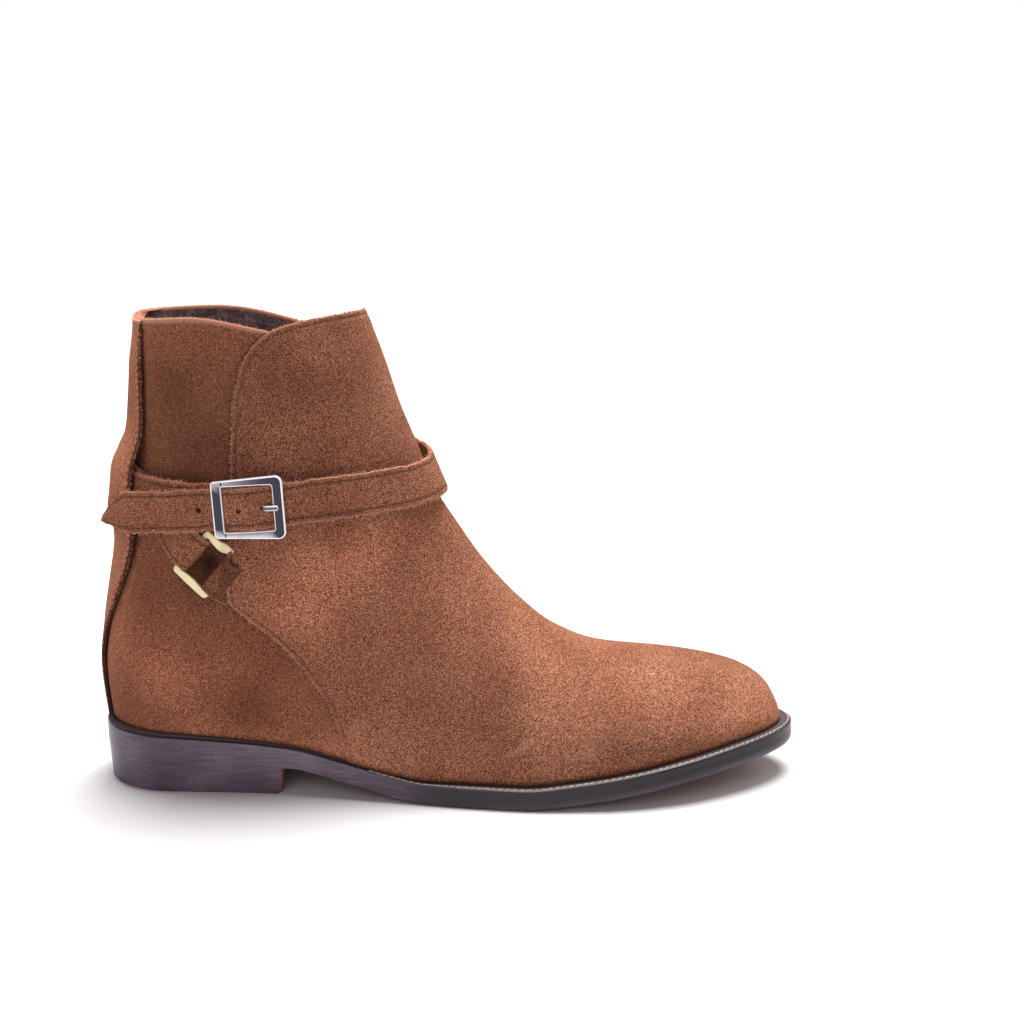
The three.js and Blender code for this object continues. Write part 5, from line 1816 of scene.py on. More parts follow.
STRIP_GROOVE = {"depth": 0.3, "wide": 0.35}
STRIP_LIGHT = {"share": 0.75, "inset": 2.0, "wide": 0.5, "side": 0.35}
STRIP_DARK = {"share": 0.9, "inset": 1.6, "over": 0.5, "under": 0.3, "edge": 1}
STRIP_SIDE_DROP = 0.15
CORNER_POINTS = 5


def strip_profile():
    half = STRIP_WIDTH / 2
    corner = [
        (half - STRIP_ROUND * (1 - math.sin(a)), STRIP_ROUND * (math.cos(a) - 1))
        for a in np.linspace(0, np.pi / 2, CORNER_POINTS)
    ]
    right = [(half - inset, 0.0) for inset in reversed(STRIP_SPREAD)] + corner
    upper_side = [(-x, h) for x, h in reversed(right)] + [(0.0, 0.0)] + right
    rows = []
    for x, h in upper_side:
        inset = half - abs(x)
        groove = STRIP_GROOVE["depth"] * bell(inset - STRIP_STITCH_INSET, STRIP_GROOVE["wide"])
        light = STRIP_LIGHT["share"] * float(bell(inset - STRIP_LIGHT["inset"], STRIP_LIGHT["wide"]))
        if h < -STRIP_SIDE_DROP:
            light = STRIP_LIGHT["side"]
        # A dark band along the strip's edge: its dark raw cut edge, deepened with painted shade.
        dark = STRIP_DARK["share"] * float(smooth((STRIP_DARK["inset"] - inset) / STRIP_DARK["over"]))
        rows.append((x / half, 1.0, h - groove, light, dark))
    for x, h in reversed(upper_side):
        if h < 0 or abs(x) < half - STRIP_ROUND:
            dark = 1.0 if abs(x) > half - STRIP_DARK["edge"] else STRIP_DARK["under"]
            rows.append((x / half, 0.0, -h, 0.0, dark))
    return np.array(rows)


STRIP_PROFILE = strip_profile()


def strip_places(z, across, thick, extra):
    """Points on the strip at heights z: shares across, shares of its thickness, and a rise."""
    up = strip_up(z)
    distances = across[None, :] * (strip_half(np.clip(up, 0, 1)) * STRIP_WIDTH / 2)[:, None]
    turns = turns_at_arc(z, distances)
    low = layer_height(strip_lift(np.clip(up, 0, 1))) + STRIP_REST
    settle = smooth((z - (COLLAR_HEIGHT - LAP_SETTLE["below"])) / LAP_SETTLE["over"])
    low = mix(low, LAP_GAP, settle)
    deep = mix(STRIP_THICKNESS, LAP_THICKNESS, settle)
    out = low[:, None] + thick[None, :] * deep[:, None] + extra[None, :]
    return on_face(turns, z[:, None] * np.ones_like(turns), out), turns


def strip_loops():
    top = COLLAR_HEIGHT - WALL / 2
    z = np.linspace(feather(0) + GAP, top, STRIP_ROWS)
    (points, _), turns = strip_places(z, STRIP_PROFILE[:, 0], STRIP_PROFILE[:, 1], STRIP_PROFILE[:, 2])
    base, normal = on_face(turns[-1], np.full(turns[-1].shape, top), 0)
    lifted = on_face(turns[-1], np.full(turns[-1].shape, top + LAP_LOOK), 0)[0]
    rise = unit(lifted - base)
    centre = base - normal * WALL / 2
    tops = []
    for share in np.linspace(0, 1, LAP_ROWS)[1:]:
        angle = share * LAP_TURN
        thick = LAP_THICKNESS * math.cos(share * math.pi / 2) + LAP_GAP
        radius = WALL / 2 + LAP_GAP + STRIP_PROFILE[:, 1] * thick + STRIP_PROFILE[:, 2] * (1 - share)
        spread = normal * math.cos(angle) + rise * math.sin(angle)
        tops.append(centre + spread * radius[:, None])
    return np.concatenate([points, np.array(tops)])


def strip_piece():
    loops = strip_loops()
    points, faces = loop_solid(loops)
    rows = len(loops)
    ends = np.zeros(rows)
    ends[-LAP_ROWS:] = LAP_LIGHT
    edge = np.clip(STRIP_PROFILE[None, :, 3] + ends[:, None], 0, 1)
    dark = STRIP_PROFILE[None, :, 4] * (1 - ends[:, None])
    colours = {
        "edge": np.concatenate([edge.ravel(), [0, 0]]),
        "dark": np.concatenate([dark.ravel(), [0, 0]]),
        "tone": np.full(edge.size + 2, STRIP_TONE),
    }
    return make_piece(
        "back_strip_suede", points, faces, [SUEDE], "suede", ["back_strip"], colours=colours
    )


strip_piece()

# Metal frames: a ring of sections with rounded edges on flat faces
CORNER_STEPS = 9
OUTER_CORNER = 0.7
INNER_CORNER = 0.2
LEAST_CORNER = 0.12
RAIL_STEPS = 8
BEVEL_INSET = 0.12


def edge_arc(radius, steps=5):
    """Offsets (inward, down) round an edge from its side wall to its face."""
    angles = np.linspace(0, np.pi / 2, steps)
    return [(radius * (1 - math.cos(a)), radius * (1 - math.sin(a))) for a in angles]


def frame_loops(fitting, size, height, outer_round, inner_round, bow=None):
    """Loops round a rectangular frame's section, each following the frame's outline."""
    half = size["depth"] / 2
    quarters = [(1, 1), (-1, 1), (-1, -1), (1, -1)]

    def outline(edge, grow, level):
        arcs = []
        for quarter, (side_along, side_across) in enumerate(quarters):
            square = size.get("square", 1.0) if side_along < 0 and edge["outer"] else 1.0
            radius = max(edge["corner"] * square + grow, LEAST_CORNER)
            flare = edge["flare"] if side_along > 0 else 0.0
            along = edge["length"] / 2 + grow - radius
            across = (edge["width"] + flare) / 2 + grow - radius
            turns = [math.pi / 2 * (quarter + i / CORNER_STEPS) for i in range(CORNER_STEPS + 1)]
            arcs.append(
                [
                    (side_along * along + radius * math.cos(a), side_across * across + radius * math.sin(a))
                    for a in turns
                ]
            )
        filled = []
        for arc, after in zip(arcs, arcs[1:] + arcs[:1]):
            (x, y), (next_x, next_y) = arc[-1], after[0]
            steps = [i / RAIL_STEPS for i in range(1, RAIL_STEPS)]
            filled += arc + [(mix(x, next_x, t), mix(y, next_y, t)) for t in steps]
        flat = np.array(filled)
        if bow:
            swell = np.clip(1 - (2 * flat[:, 0] / edge["length"]) ** 2, 0, 1)
            flat[:, 1] += np.sign(flat[:, 1]) * bow[0 if edge["outer"] else 1] * swell
        return fitting.at(flat[:, 0], flat[:, 1], height + level)

    outer = dict(size, corner=size["bar"] * OUTER_CORNER, outer=True)
    inner = {
        "length": size["length"] - 2 * size["bar"],
        "width": size["inside"],
        "flare": 0.0,
        "corner": size["bar"] * INNER_CORNER,
        "outer": False,
    }
    loops = []
    for inward, down in edge_arc(outer_round):
        loops.append(outline(outer, -inward, half - down))
    loops.append(outline(outer, -outer_round - BEVEL_INSET, half))
    loops.append(outline(inner, inner_round + BEVEL_INSET, half))
    for inward, down in reversed(edge_arc(inner_round)):
        loops.append(outline(inner, inward, half - down))
    for inward, down in edge_arc(inner_round):
        loops.append(outline(inner, inward, down - half))
    loops.append(outline(inner, inner_round + BEVEL_INSET, -half))
    loops.append(outline(outer, -outer_round - BEVEL_INSET, -half))
    for inward, down in reversed(edge_arc(outer_round)):
        loops.append(outline(outer, -inward, down - half))
    return np.array(loops)


def rod(points, radius, steps=12, flatten=1.0, up=None):
    """A round bar through points, closed with flat caps at its ends."""
    points = np.asarray(points, float)
    tangents = unit(np.gradient(points, axis=0))
    up = np.array(up if up is not None else (0.0, 0.0, 1.0))
    side = unit(np.cross(tangents, up))
    top = np.cross(side, tangents)
    angles = full_turn(steps)
    radii = np.broadcast_to(np.asarray(radius, float), (len(points),))
    loops = (
        points[:, None, :]
        + (radii[:, None] * np.cos(angles))[..., None] * side[:, None, :]
        + (radii[:, None] * np.sin(angles) * flatten)[..., None] * top[:, None, :]
    )
    return loop_solid(loops)


def rounded_rod(start, end, radius, **how):
    """A rod with a domed cap at each end."""
    start, end = np.asarray(start, float), np.asarray(end, float)
    length = np.linalg.norm(end - start)
    cap = np.array([0.0, 0.06, 0.2, 0.45, 0.75, 1.0]) * radius
    run = np.concatenate([cap, (length - cap)[::-1]])
    lift = np.minimum(run, length - run)
    radii = np.sqrt(np.clip(radius**2 - np.clip(radius - lift, 0, radius) ** 2, (0.08 * radius) ** 2, None))
    return rod(start + (end - start) * (run / length)[:, None], radii, **how)


def buckle_parts():
    size = {
        "length": BUCKLE_LENGTH,
        "width": BUCKLE_WIDTH,
        "inside": BUCKLE_INSIDE,
        "flare": BUCKLE_FLARE,
        "bar": BUCKLE_BAR,
        "depth": BUCKLE_THICKNESS,
        "square": 0.5,
    }
    frame_part = loop_solid(frame_loops(BUCKLE, size, FRAME_HEIGHT, 0.5, 0.3), joined=True)
    half = CENTRE_BAR / 2
    reach = BUCKLE_WIDTH / 2 - GAP
    bar = rounded_rod(
        BUCKLE.at(0, -reach, CENTRE_HEIGHT),
        BUCKLE.at(0, reach, CENTRE_HEIGHT),
        half,
        up=BUCKLE.out,
    )
    posts = []
    for side in (-1, 1):
        across = side * (BUCKLE_INSIDE / 2 + (reach - BUCKLE_INSIDE / 2) / 2 + 0.2)
        posts.append(
            rounded_rod(
                BUCKLE.at(0, across, CENTRE_HEIGHT - half),
                BUCKLE.at(0, across, FRAME_HEIGHT + half / 2),
                half,
                up=BUCKLE.across,
            )
        )
    return [frame_part, bar] + posts + keeper_groove()


def keeper_groove():
    """Fine joints where the heel-side bar meets the rails, as thin closed rods."""
    parts = []
    at_along = -BUCKLE_LENGTH / 2 + BUCKLE_BAR + 0.35
    face = FRAME_HEIGHT + BUCKLE_THICKNESS / 2
    for side in (-1, 1):
        inner = side * (BUCKLE_INSIDE / 2 + 0.25)
        outer = side * (BUCKLE_WIDTH / 2 - 0.25)
        parts.append(
            rounded_rod(
                BUCKLE.at(at_along, inner, face - 0.12),
                BUCKLE.at(at_along, outer, face - 0.12),
                0.3,
                up=BUCKLE.out,
            )
        )
    return parts


PRONG_ROWS = 60
PRONG_SIDES = 16
PRONG_SMOOTHINGS = 12
PRONG_DROP = {"from": -3.8, "to": -1.8, "free": 0.2}
PRONG_TIP = {"bend": 0.9, "over": 0.1, "near": 2.6, "end": 2.0, "down": 0.15, "least": 0.02}
PRONG_TAPER = {"from": 0.955, "over": 0.045}
EYE_SIDES = 28


def prong_parts():
    inner = CENTRE_BAR / math.sqrt(2) + GAP
    thick = PRONG_THICKNESS
    edge = PRONG_WIDTH / 2
    angles = full_turn(EYE_SIDES)

    def circle(radius, across):
        return BUCKLE.at(
            radius * np.cos(angles), across, CENTRE_HEIGHT + radius * np.sin(angles)
        )

    eye = loop_solid(
        np.array(
            [
                circle(inner, -edge),
                circle(inner + thick, -edge),
                circle(inner + thick, edge),
                circle(inner, edge),
            ]
        ),
        joined=True,
    )
    rest = FRAME_HEIGHT + BUCKLE_THICKNESS / 2 + GAP
    rise = inner + thick / 2 + CENTRE_HEIGHT
    hole = PUNCHED["along"][0]
    line = [
        (0, rise - thick / 2),
        (hole + PRONG_DROP["from"], rise - thick / 2),
        (hole + PRONG_DROP["to"], rise),
        (hole + PRONG_DROP["free"], rest),
        (BUCKLE_LENGTH / 2 - BUCKLE_BAR - PRONG_TIP["bend"], rest + PRONG_TIP["over"]),
        (BUCKLE_LENGTH / 2 - PRONG_TIP["near"], rest),
        (BUCKLE_LENGTH / 2 - PRONG_TIP["end"], rest - PRONG_TIP["down"]),
    ]
    line = between(line, np.linspace(0, 1, PRONG_ROWS))
    smooth_line = smoothed(line, PRONG_SMOOTHINGS)
    points = BUCKLE.at(smooth_line[:, 0], 0.0, smooth_line[:, 1] + thick / 2)
    ends = np.linspace(0, 1, PRONG_ROWS)
    tip = np.clip((ends - PRONG_TAPER["from"]) / PRONG_TAPER["over"], 0, 1)
    radii = edge * np.sqrt(np.clip(1 - tip**2, PRONG_TIP["least"], 1))
    shank = rod(points, radii, steps=PRONG_SIDES, flatten=thick / PRONG_WIDTH, up=BUCKLE.out)
    return [eye, shank]


def metal_piece(name, parts, material, slot, replaced, shades=None):
    """One metal piece from several parts; shades gives the dark share of each part's points: painted dark
    reflection, and dark joint lines.
    """
    points, faces = joined_pieces(parts)
    counts = [np.asarray(part[0]).reshape(-1, 3).shape[0] for part in parts]
    shades = shades or [np.zeros(count) for count in counts]
    face = np.concatenate([np.broadcast_to(shade, (n,)) for shade, n in zip(shades, counts)])
    return make_piece(name, points, faces, [material], slot, [replaced], colours={"face": face})


def painted_reflection_shares(points, columns):
    """Painted dark reflection on the buckle's points: its front face between the two bevels, with painted
    lighter streaks on parts of the rails.
    """
    away = points[: FRAME_ROWS * columns] - BUCKLE.point
    along = (away @ BUCKLE.along).reshape(FRAME_ROWS, columns) / BUCKLE_LENGTH
    across = (away @ BUCKLE.across).reshape(FRAME_ROWS, columns) / BUCKLE_WIDTH
    upper_rail = smooth((across - 0.36) / 0.06) * smooth((0.36 - along) / 0.1)
    lower_rail = smooth((-across - 0.36) / 0.06) * smooth((0.36 - along) / 0.1)
    shares = np.zeros((FRAME_ROWS, columns))
    shares[5:7] = 1 - upper_rail[5:7] * mix(0.0, 0.45, smooth(0.3 - along[5:7]))
    shares[5] *= 1 - 0.7 * lower_rail[5]
    shares[6] *= 1 - 0.15 * lower_rail[6]
    return shares.ravel()


RING_BOW = (0.2, -0.75)
RING_TUCK = 2.2


def ring_parts(fitting):
    size = {
        "length": RING_LENGTH,
        "width": RING_WIDTH,
        "inside": RING_WIDTH - 2 * RING_WIRE,
        "flare": 0.0,
        "bar": RING_WIRE,
        "depth": RING_DEPTH,
    }
    loops = frame_loops(fitting, size, RING_HEIGHT, 0.5, 0.4, bow=RING_BOW)
    level = ((loops - fitting.point) @ fitting.out - RING_HEIGHT) / RING_DEPTH + 0.5
    press = smooth((inside_flap(loops) + RING_TUCK) / RING_TUCK)
    return [loop_solid(tucked_under(fitting, loops, np.clip(level, 0, 1), press), joined=True)]


FRAME_ROWS = 24
buckle_solids = buckle_parts()
frame_solid = np.asarray(buckle_solids[0][0])
painted_reflection_shades = [painted_reflection_shares(frame_solid, len(frame_solid) // FRAME_ROWS)]
bar_shades = [0.0] * (len(buckle_solids) - 3)
joint_shades = [1.0] * 2
metal_piece(
    "buckle_frame_metal",
    buckle_solids,
    CHROME,
    "buckle_metal",
    "buckle_frame",
    painted_reflection_shades + bar_shades + joint_shades,
)
prong_solids = prong_parts()
# A painted dark reflection along the top of the prong.
shank = np.zeros((PRONG_ROWS, PRONG_SIDES))
shank[:-2, 3:6] = 0.9
prong_painted_reflection = np.concatenate([shank.ravel(), [0.0, 0.0]])
metal_piece(
    "buckle_prong_metal", prong_solids, CHROME, "buckle_metal", "buckle_prong", [0.0, prong_painted_reflection]
)
metal_piece("outer_ring_metal", ring_parts(OUTER_RING), BRASS, "ring_metal", "outer_ring")
metal_piece("inner_ring_metal", ring_parts(INNER_RING), BRASS, "ring_metal", "inner_ring")

# Sole pieces, lofted from the outline seen from above
OUTLINE_STEPS = 190
OUTSOLE_ROUND = 1.1
EDGE_CROWN = 0.25


FOREPART = {"from": 20, "over": 60}


def forepart(s):
    """0 over the heel, rising to 1 along the waist."""
    return smooth((s - HEEL_LENGTH - FOREPART["from"]) / FOREPART["over"])


def station(count):
    return (1 - np.cos(np.pi * np.arange(count + 1) / count)) / 2


def sole_outline(inset):
    """The sole's closed outline, moved in by a distance that may vary along it."""
    runs = station(OUTLINE_STEPS) * SOLE_LENGTH
    s = np.concatenate([runs, runs[-2:0:-1]])
    side = np.concatenate([-np.ones(len(runs)), np.ones(len(runs) - 2)])
    points = np.stack([s, outline_at(s, side)], -1)
    run = np.roll(points, -1, 0) - np.roll(points, 1, 0)
    run /= np.linalg.norm(run, axis=1, keepdims=True)
    inward = np.stack([-run[:, 1], run[:, 0]], -1)
    distance = inset(points[:, 0]) if callable(inset) else inset
    return points + inward * np.reshape(distance, (-1, 1) if np.ndim(distance) else 1)


def at_height(outline, height):
    return np.column_stack([outline, height(np.clip(outline[:, 0], 0, SOLE_LENGTH))])


def outsole_loops():
    """Loops up the outsole's edge: rounded below in front of the heel, square where pieces meet."""
    def top(s):
        return outsole_top(s) + GAP / 2

    def freed(s):
        return smooth((s - HEEL_LENGTH - 1) / 5)

    loops = [at_height(sole_outline(12.0), underside_at), at_height(sole_outline(4.0), underside_at)]
    for inward, down in reversed(edge_arc(OUTSOLE_ROUND, 6)):
        outline = sole_outline(lambda s, i=inward: i * freed(s))
        loops.append(at_height(outline, lambda s, d=down: underside_at(s) + d * freed(s)))
    for share in (0.3, 0.45, 0.6, 0.75, 0.9, 1.0):
        bulge = -EDGE_CROWN * math.sin(math.pi * share)
        outline = sole_outline(lambda s, g=bulge: g * freed(s))
        loops.append(at_height(outline, lambda s, k=share: mix(underside_at(s), top(s), k)))
    loops += [at_height(sole_outline(4.0), top), at_height(sole_outline(12.0), top)]
    return np.array(loops)


def filled(loops):
    """A lofted solid whose two flat ends are filled in rows across the sole."""
    rows, columns = loops.shape[:2]
    points, faces = loop_solid(loops, capped=False)
    half = columns // 2
    for row, turned in ((0, False), (rows - 1, True)):
        start = row * columns
        for i in range(half):
            a, b = start + i, start + i + 1
            c, d = start + (columns - i - 1) % columns, start + (columns - i) % columns
            corners = [a, b, c, d]
            kept = [corner for k, corner in enumerate(corners) if corner not in corners[:k]]
            if len(kept) >= 3:
                faces.append(tuple(kept) if turned else tuple(reversed(kept)))
    return points, faces


def outsole_piece():
    loops = outsole_loops()
    points, faces = filled(loops)
    columns = loops.shape[1]
    kinds = np.zeros(len(faces), int)
    kinds[:columns] = 1
    kinds[(len(loops) - 1) * columns : (len(loops) - 1) * columns + columns // 2] = 1
    height = np.linspace(0, 1, len(loops))[:, None]
    fore = forepart(loops[..., 0])
    dark = fore * mix(0.35, 1.0, smooth((height - 0.4) / 0.3))
    piece = make_piece(
        "outsole_leather",
        points,
        faces,
        [SOLE, BARE_LEATHER],
        "sole_edge",
        ["outsole"],
        kinds,
        {"dark": dark.ravel()},
    )
    piece.data.set_sharp_from_angle(angle=math.radians(40))
    return piece


WELT_GROOVE = {"inset": 1.35, "depth": 0.35}
WELT_STITCH_START = 118
TOP_DARK = 0.85
TOP_ROW = 6
WELT_CORNER = 0.8
WELT_SEAT = 2.0
GROOVE_INSETS = (1.1, 1.5, 1.85, 2.2, 2.6)
GROOVE_WIDE = 0.45
SHARP_ANGLE = math.radians(50)


def welt_piece():
    def bottom(s):
        return outsole_top(s) + GAP / 2

    def bearing(s):
        return ledge_at(s) + WELT_BEARING

    loops = [at_height(sole_outline(bearing), bottom)]
    loops.append(at_height(sole_outline(WELT_SEAT), bottom))
    loops.append(at_height(sole_outline(0.0), bottom))
    loops.append(at_height(sole_outline(0.0), lambda s: bottom(s) + WELT_CORNER))
    for inward, down in edge_arc(WELT_CORNER, 5):
        loops.append(at_height(sole_outline(inward), lambda s, d=down: welt_top(s) - d))
    for inset in GROOVE_INSETS:
        groove = WELT_GROOVE["depth"] * math.exp(-(((inset - WELT_GROOVE["inset"]) / GROOVE_WIDE) ** 2))
        loops.append(at_height(sole_outline(inset), lambda s, g=groove: welt_top(s) - g * welted(s)))
    loops.append(at_height(sole_outline(bearing), welt_top))
    points, faces = loop_solid(np.array(loops), joined=True)
    kinds = np.zeros(len(faces), int)
    kinds[(len(loops) - 4) * loops[0].shape[0] :] = 1
    dark = [mix(TOP_DARK * (i >= TOP_ROW), 1.0, forepart(loop[:, 0])) for i, loop in enumerate(loops)]
    piece = make_piece(
        "welt_leather",
        points,
        faces,
        [SOLE, WELT_TOP],
        "sole_edge",
        ["welt"],
        kinds,
        {"dark": np.concatenate(dark)},
    )
    piece.data.set_sharp_from_angle(angle=SHARP_ANGLE)
    return piece


def welted(s):
    """1 where the welt is stitched, from the waist round the toe."""
    return smooth((s - WELT_STITCH_START + 6) / 12)


BREAST_ROUND = 3.0
BREAST_HOLLOW = 3.0
CORNER_BACK = 2.2
RAND_END = 112.0


def heel_outline():
    """The heel seen from above: round the back, a small round at each front corner, the breast."""
    runs = station(120)[1:] * 2 * HEEL_LENGTH
    runs = np.append(runs[runs < HEEL_LENGTH - BREAST_ROUND - 0.3], HEEL_LENGTH - BREAST_ROUND)
    outer = np.stack([runs, outline_at(runs, -1.0)], -1)
    inner = np.stack([runs, outline_at(runs, 1.0)], -1)[::-1]
    turn = np.linspace(0, np.pi / 2, 6)[1:]
    low, high = outer[-1, 1], inner[0, 1]
    x = HEEL_LENGTH - BREAST_ROUND * (1 - np.sin(turn))
    near = np.stack([x, low + BREAST_ROUND * (1 - np.cos(turn))], -1)
    far = np.stack([x, high - BREAST_ROUND * (1 - np.cos(turn))], -1)[::-1]
    across = np.linspace(near[-1, 1], far[0, 1], 16)[1:-1]
    hollow = BREAST_HOLLOW * np.sin(np.pi * (across - low) / (high - low))
    breast = np.stack([HEEL_LENGTH - hollow, across], -1)
    outline = np.concatenate([[[0.0, 0.0]], outer, near, breast, far, inner])
    bare = np.zeros(len(outline), bool)
    bare[1 + len(outer) + 1 : 1 + len(outer) + 5 + len(breast) + 3] = True
    return outline, bare


HEEL_FOOT = {"inner": 12, "outer": 4, "round": 0.8, "steps": 5}
HEEL_WALL = {"first": 0.1, "rows": 16, "rise": 8}
CORNER_RISE = 2.4
HEEL_SHARP = math.radians(40)


def corner_back(above):
    """How far the breast's lower corner is set back at a height over the floor."""
    return CORNER_BACK * (1 - math.sqrt(1 - max(1 - above / CORNER_RISE, 0) ** 2))


def heel_piece():
    outline, bare = heel_outline()
    corner = HEEL_FOOT["round"]

    def level(tuck, height, back=0.0):
        x = mix(outline[:, 0], HEEL_LENGTH / 2, 2 * tuck / HEEL_LENGTH)
        x = np.minimum(x, HEEL_LENGTH - back)
        y = outline[:, 1] * (1 - tuck / HEEL_ROUND)
        return np.column_stack([x, y, height(x)])

    def floor(x):
        return 0 * x

    loops = [level(HEEL_FLARE + HEEL_FOOT["inner"], floor)]
    loops.append(level(HEEL_FLARE + HEEL_FOOT["outer"], floor, HEEL_FOOT["outer"]))
    for inward, down in reversed(edge_arc(corner, HEEL_FOOT["steps"])):
        back = HEEL_FLARE + corner_back(down)
        loops.append(level(HEEL_FLARE + inward, lambda x, d=down: d + 0 * x, back))
    for share in np.linspace(HEEL_WALL["first"], 1.0, HEEL_WALL["rows"]):
        back = corner_back(corner + share * HEEL_WALL["rise"])
        tuck = HEEL_FLARE * (1 - share)
        loops.append(level(tuck, lambda x, k=share: mix(corner, underside_at(x), k), tuck + back))
    loops += [level(HEEL_FOOT["outer"], underside_at), level(HEEL_FOOT["inner"], underside_at)]
    points, faces = loop_solid(np.array(loops))
    columns = len(outline)
    kinds = np.zeros(len(faces), int)
    walls = (len(loops) - 1) * columns
    kinds[:walls] = np.tile(bare, len(loops) - 1)
    piece = make_piece("heel_leather", points, faces, [SOLE, BARE_LEATHER], "sole_edge", ["heel"], kinds)
    piece.data.set_sharp_from_angle(angle=HEEL_SHARP)
    return piece


RAND = {"rows": 90, "start": 0.5, "inset": 0.5, "ledge": 0.6, "places": 240, "smoothings": 6}
RAND_ROUND = {"thick": 1.25, "thin": 0.35, "rise": 0.55, "sides": 12}


def rand_piece():
    """The dark rand that fills the seam between the upper and the heel."""
    runs = np.concatenate([np.linspace(RAND_END, RAND["start"], RAND["rows"]), [0.0]])
    inset = ledge_at(runs) - RAND["inset"]
    side = [np.column_stack([runs, outline_at(runs, way) - way * inset]) for way in (-1.0, 1.0)]
    line = np.concatenate([side[0][:-4], side[1][-5::-1]])
    line[:, 0] = np.maximum(line[:, 0], HEEL_LEDGE - RAND["ledge"])
    line = smoothed(between(line, np.linspace(0, 1, RAND["places"])), RAND["smoothings"])
    radius = mix(RAND_ROUND["thick"], RAND_ROUND["thin"], smooth(line[:, 0] / RAND_END))
    points = np.column_stack([line, welt_top(line[:, 0]) + radius * RAND_ROUND["rise"]])
    solid = rod(points, radius, steps=RAND_ROUND["sides"])
    return make_piece("heel_rand", *joined_pieces([solid]), [WELT_TOP], "sole_edge")


outsole_piece()
welt_piece()
heel_piece()
rand_piece()

# Stitches: short threads laid along a seam, dipping into the suede at their ends
THREAD_SIDES = 7
THREAD_STATIONS = (-0.5, -0.44, -0.3, -0.1, 0.1, 0.3, 0.44, 0.5)


THREAD_BLUNT = {"power": 6, "least": 0.03}
THREAD_DIP_POWER = 3


def stitch_row(points, ups, pitch, length, radius, dip=0.5, lean=0.0, width=1.0):
    """Threads spaced along a line of points; ups are the surface's normals there."""
    points = np.asarray(points, float)
    run = run_along(points)
    count = max(int(run[-1] / pitch), 1)
    at = (np.arange(count) + 0.5) * run[-1] / count
    look = length / 2
    centre = sampled(at, run, points)
    up = unit(sampled(at, run, np.asarray(ups, float)))
    ahead = sampled(np.minimum(at + look, run[-1]), run, points)
    tangent = unit(ahead - sampled(np.maximum(at - look, 0), run, points))
    side = unit(np.cross(up, tangent))
    tangent = unit(tangent + side * lean)
    side = unit(np.cross(up, tangent))
    up = np.cross(tangent, side)
    stations = np.array(THREAD_STATIONS)
    plump = np.sqrt(np.clip(1 - (2 * stations) ** THREAD_BLUNT["power"], THREAD_BLUNT["least"], 1))
    sink = -dip * radius * 2 * np.abs(2 * stations) ** THREAD_DIP_POWER
    angles = full_turn(THREAD_SIDES)
    line = centre[:, None, :] + tangent[:, None, :] * (stations * length)[None, :, None]
    line = line + up[:, None, :] * sink[None, :, None]
    ring_side = (radius * width * plump[:, None] * np.cos(angles))[None, :, :, None]
    ring_up = (radius * plump[:, None] * np.sin(angles))[None, :, :, None]
    loops = (
        line[:, :, None, :]
        + side[:, None, None, :] * ring_side
        + up[:, None, None, :] * ring_up
    )
    return [loop_solid(stitch) for stitch in loops]


def offset_line(line, normals, distance, rise):
    """A seam line at a distance inward of an edge, along T x N, and a rise off the face."""
    tangent = unit(np.gradient(line, axis=0))
    inward = unit(np.cross(tangent, normals))
    return line + inward * distance + normals * np.reshape(rise, (-1, 1))


def thread_piece(name, parts, material, slot):
    points, faces = joined_pieces(parts)
    return make_piece(name, points, faces, [material], slot)


FLAP_STITCH = {"pitch": 3.0, "length": 1.9, "radius": 0.19}
STRAP_THREAD = {"pitch": 2.9, "length": 1.8, "radius": 0.24}
WELT_THREAD = {"pitch": 2.9, "length": 3.1, "radius": 0.42}


def flap_threads():
    swell = relief_at(EDGE_LINE[:, 0], EDGE_LINE[:, 2], EDGE_LINE[:, 1]) + tab_lift(EDGE_LINE)
    line = offset_line(EDGE_LINE, EDGE_NORMALS, STITCH_INSET, swell + FLAP_PROUD - 0.3)
    kept = line[:, 2] > feather(line[:, 0]) + 4
    return stitch_row(line[kept], EDGE_NORMALS[kept], **FLAP_STITCH)


def strap_threads(course, first, last):
    parts = []
    shares = np.linspace(first, last, 500)
    for side in (-1, 1):
        offset = side * (STRAP_WIDTH / 2 - STRAP_STITCH["inset"])
        inner = course.room(shares)
        out = inner + STRAP_THICKNESS - STRAP_STITCH["depth"] + 0.22
        points, normals = course.place(shares, np.full((500, 1), offset), out[:, None])
        parts += stitch_row(points[:, 0], normals[:, 0], **STRAP_THREAD)
    return parts


def strip_threads():
    parts = []
    z = np.linspace(feather(0) + 3, COLLAR_HEIGHT - 3, 240)
    up = strip_up(z)
    for side in (-1, 1):
        inset = 1 - STRIP_STITCH_INSET / (strip_half(up) * STRIP_WIDTH / 2)
        points = []
        normals = []
        for height, share in zip(z, inset):
            (place, normal), _ = strip_places(
                np.array([height]), np.array([side * share]), np.array([1.0]), np.array([-0.12])
            )
            points.append(place[0, 0])
            normals.append(normal[0, 0])
        parts += stitch_row(np.array(points), np.array(normals), **STRAP_THREAD)
    return parts


def rim_threads():
    """The seam inside the collar, on the lining."""
    angles = np.linspace(0.3, 2 * np.pi - 0.3, 500)
    share = np.full(angles.shape, 1.0)
    top = upper_place(share, angles, SHELL_TOP)
    normals = upper_normal(share - 0.02, angles, SHELL_TOP)
    lower = upper_place(share - 0.05, angles, SHELL_TOP)
    down = unit(lower - top)
    points = top + down * (RIM_STITCH["below"] + 0.6) - normals * (WALL + 0.05)
    return stitch_row(points, -normals, 3.0, 2.1, 0.27)


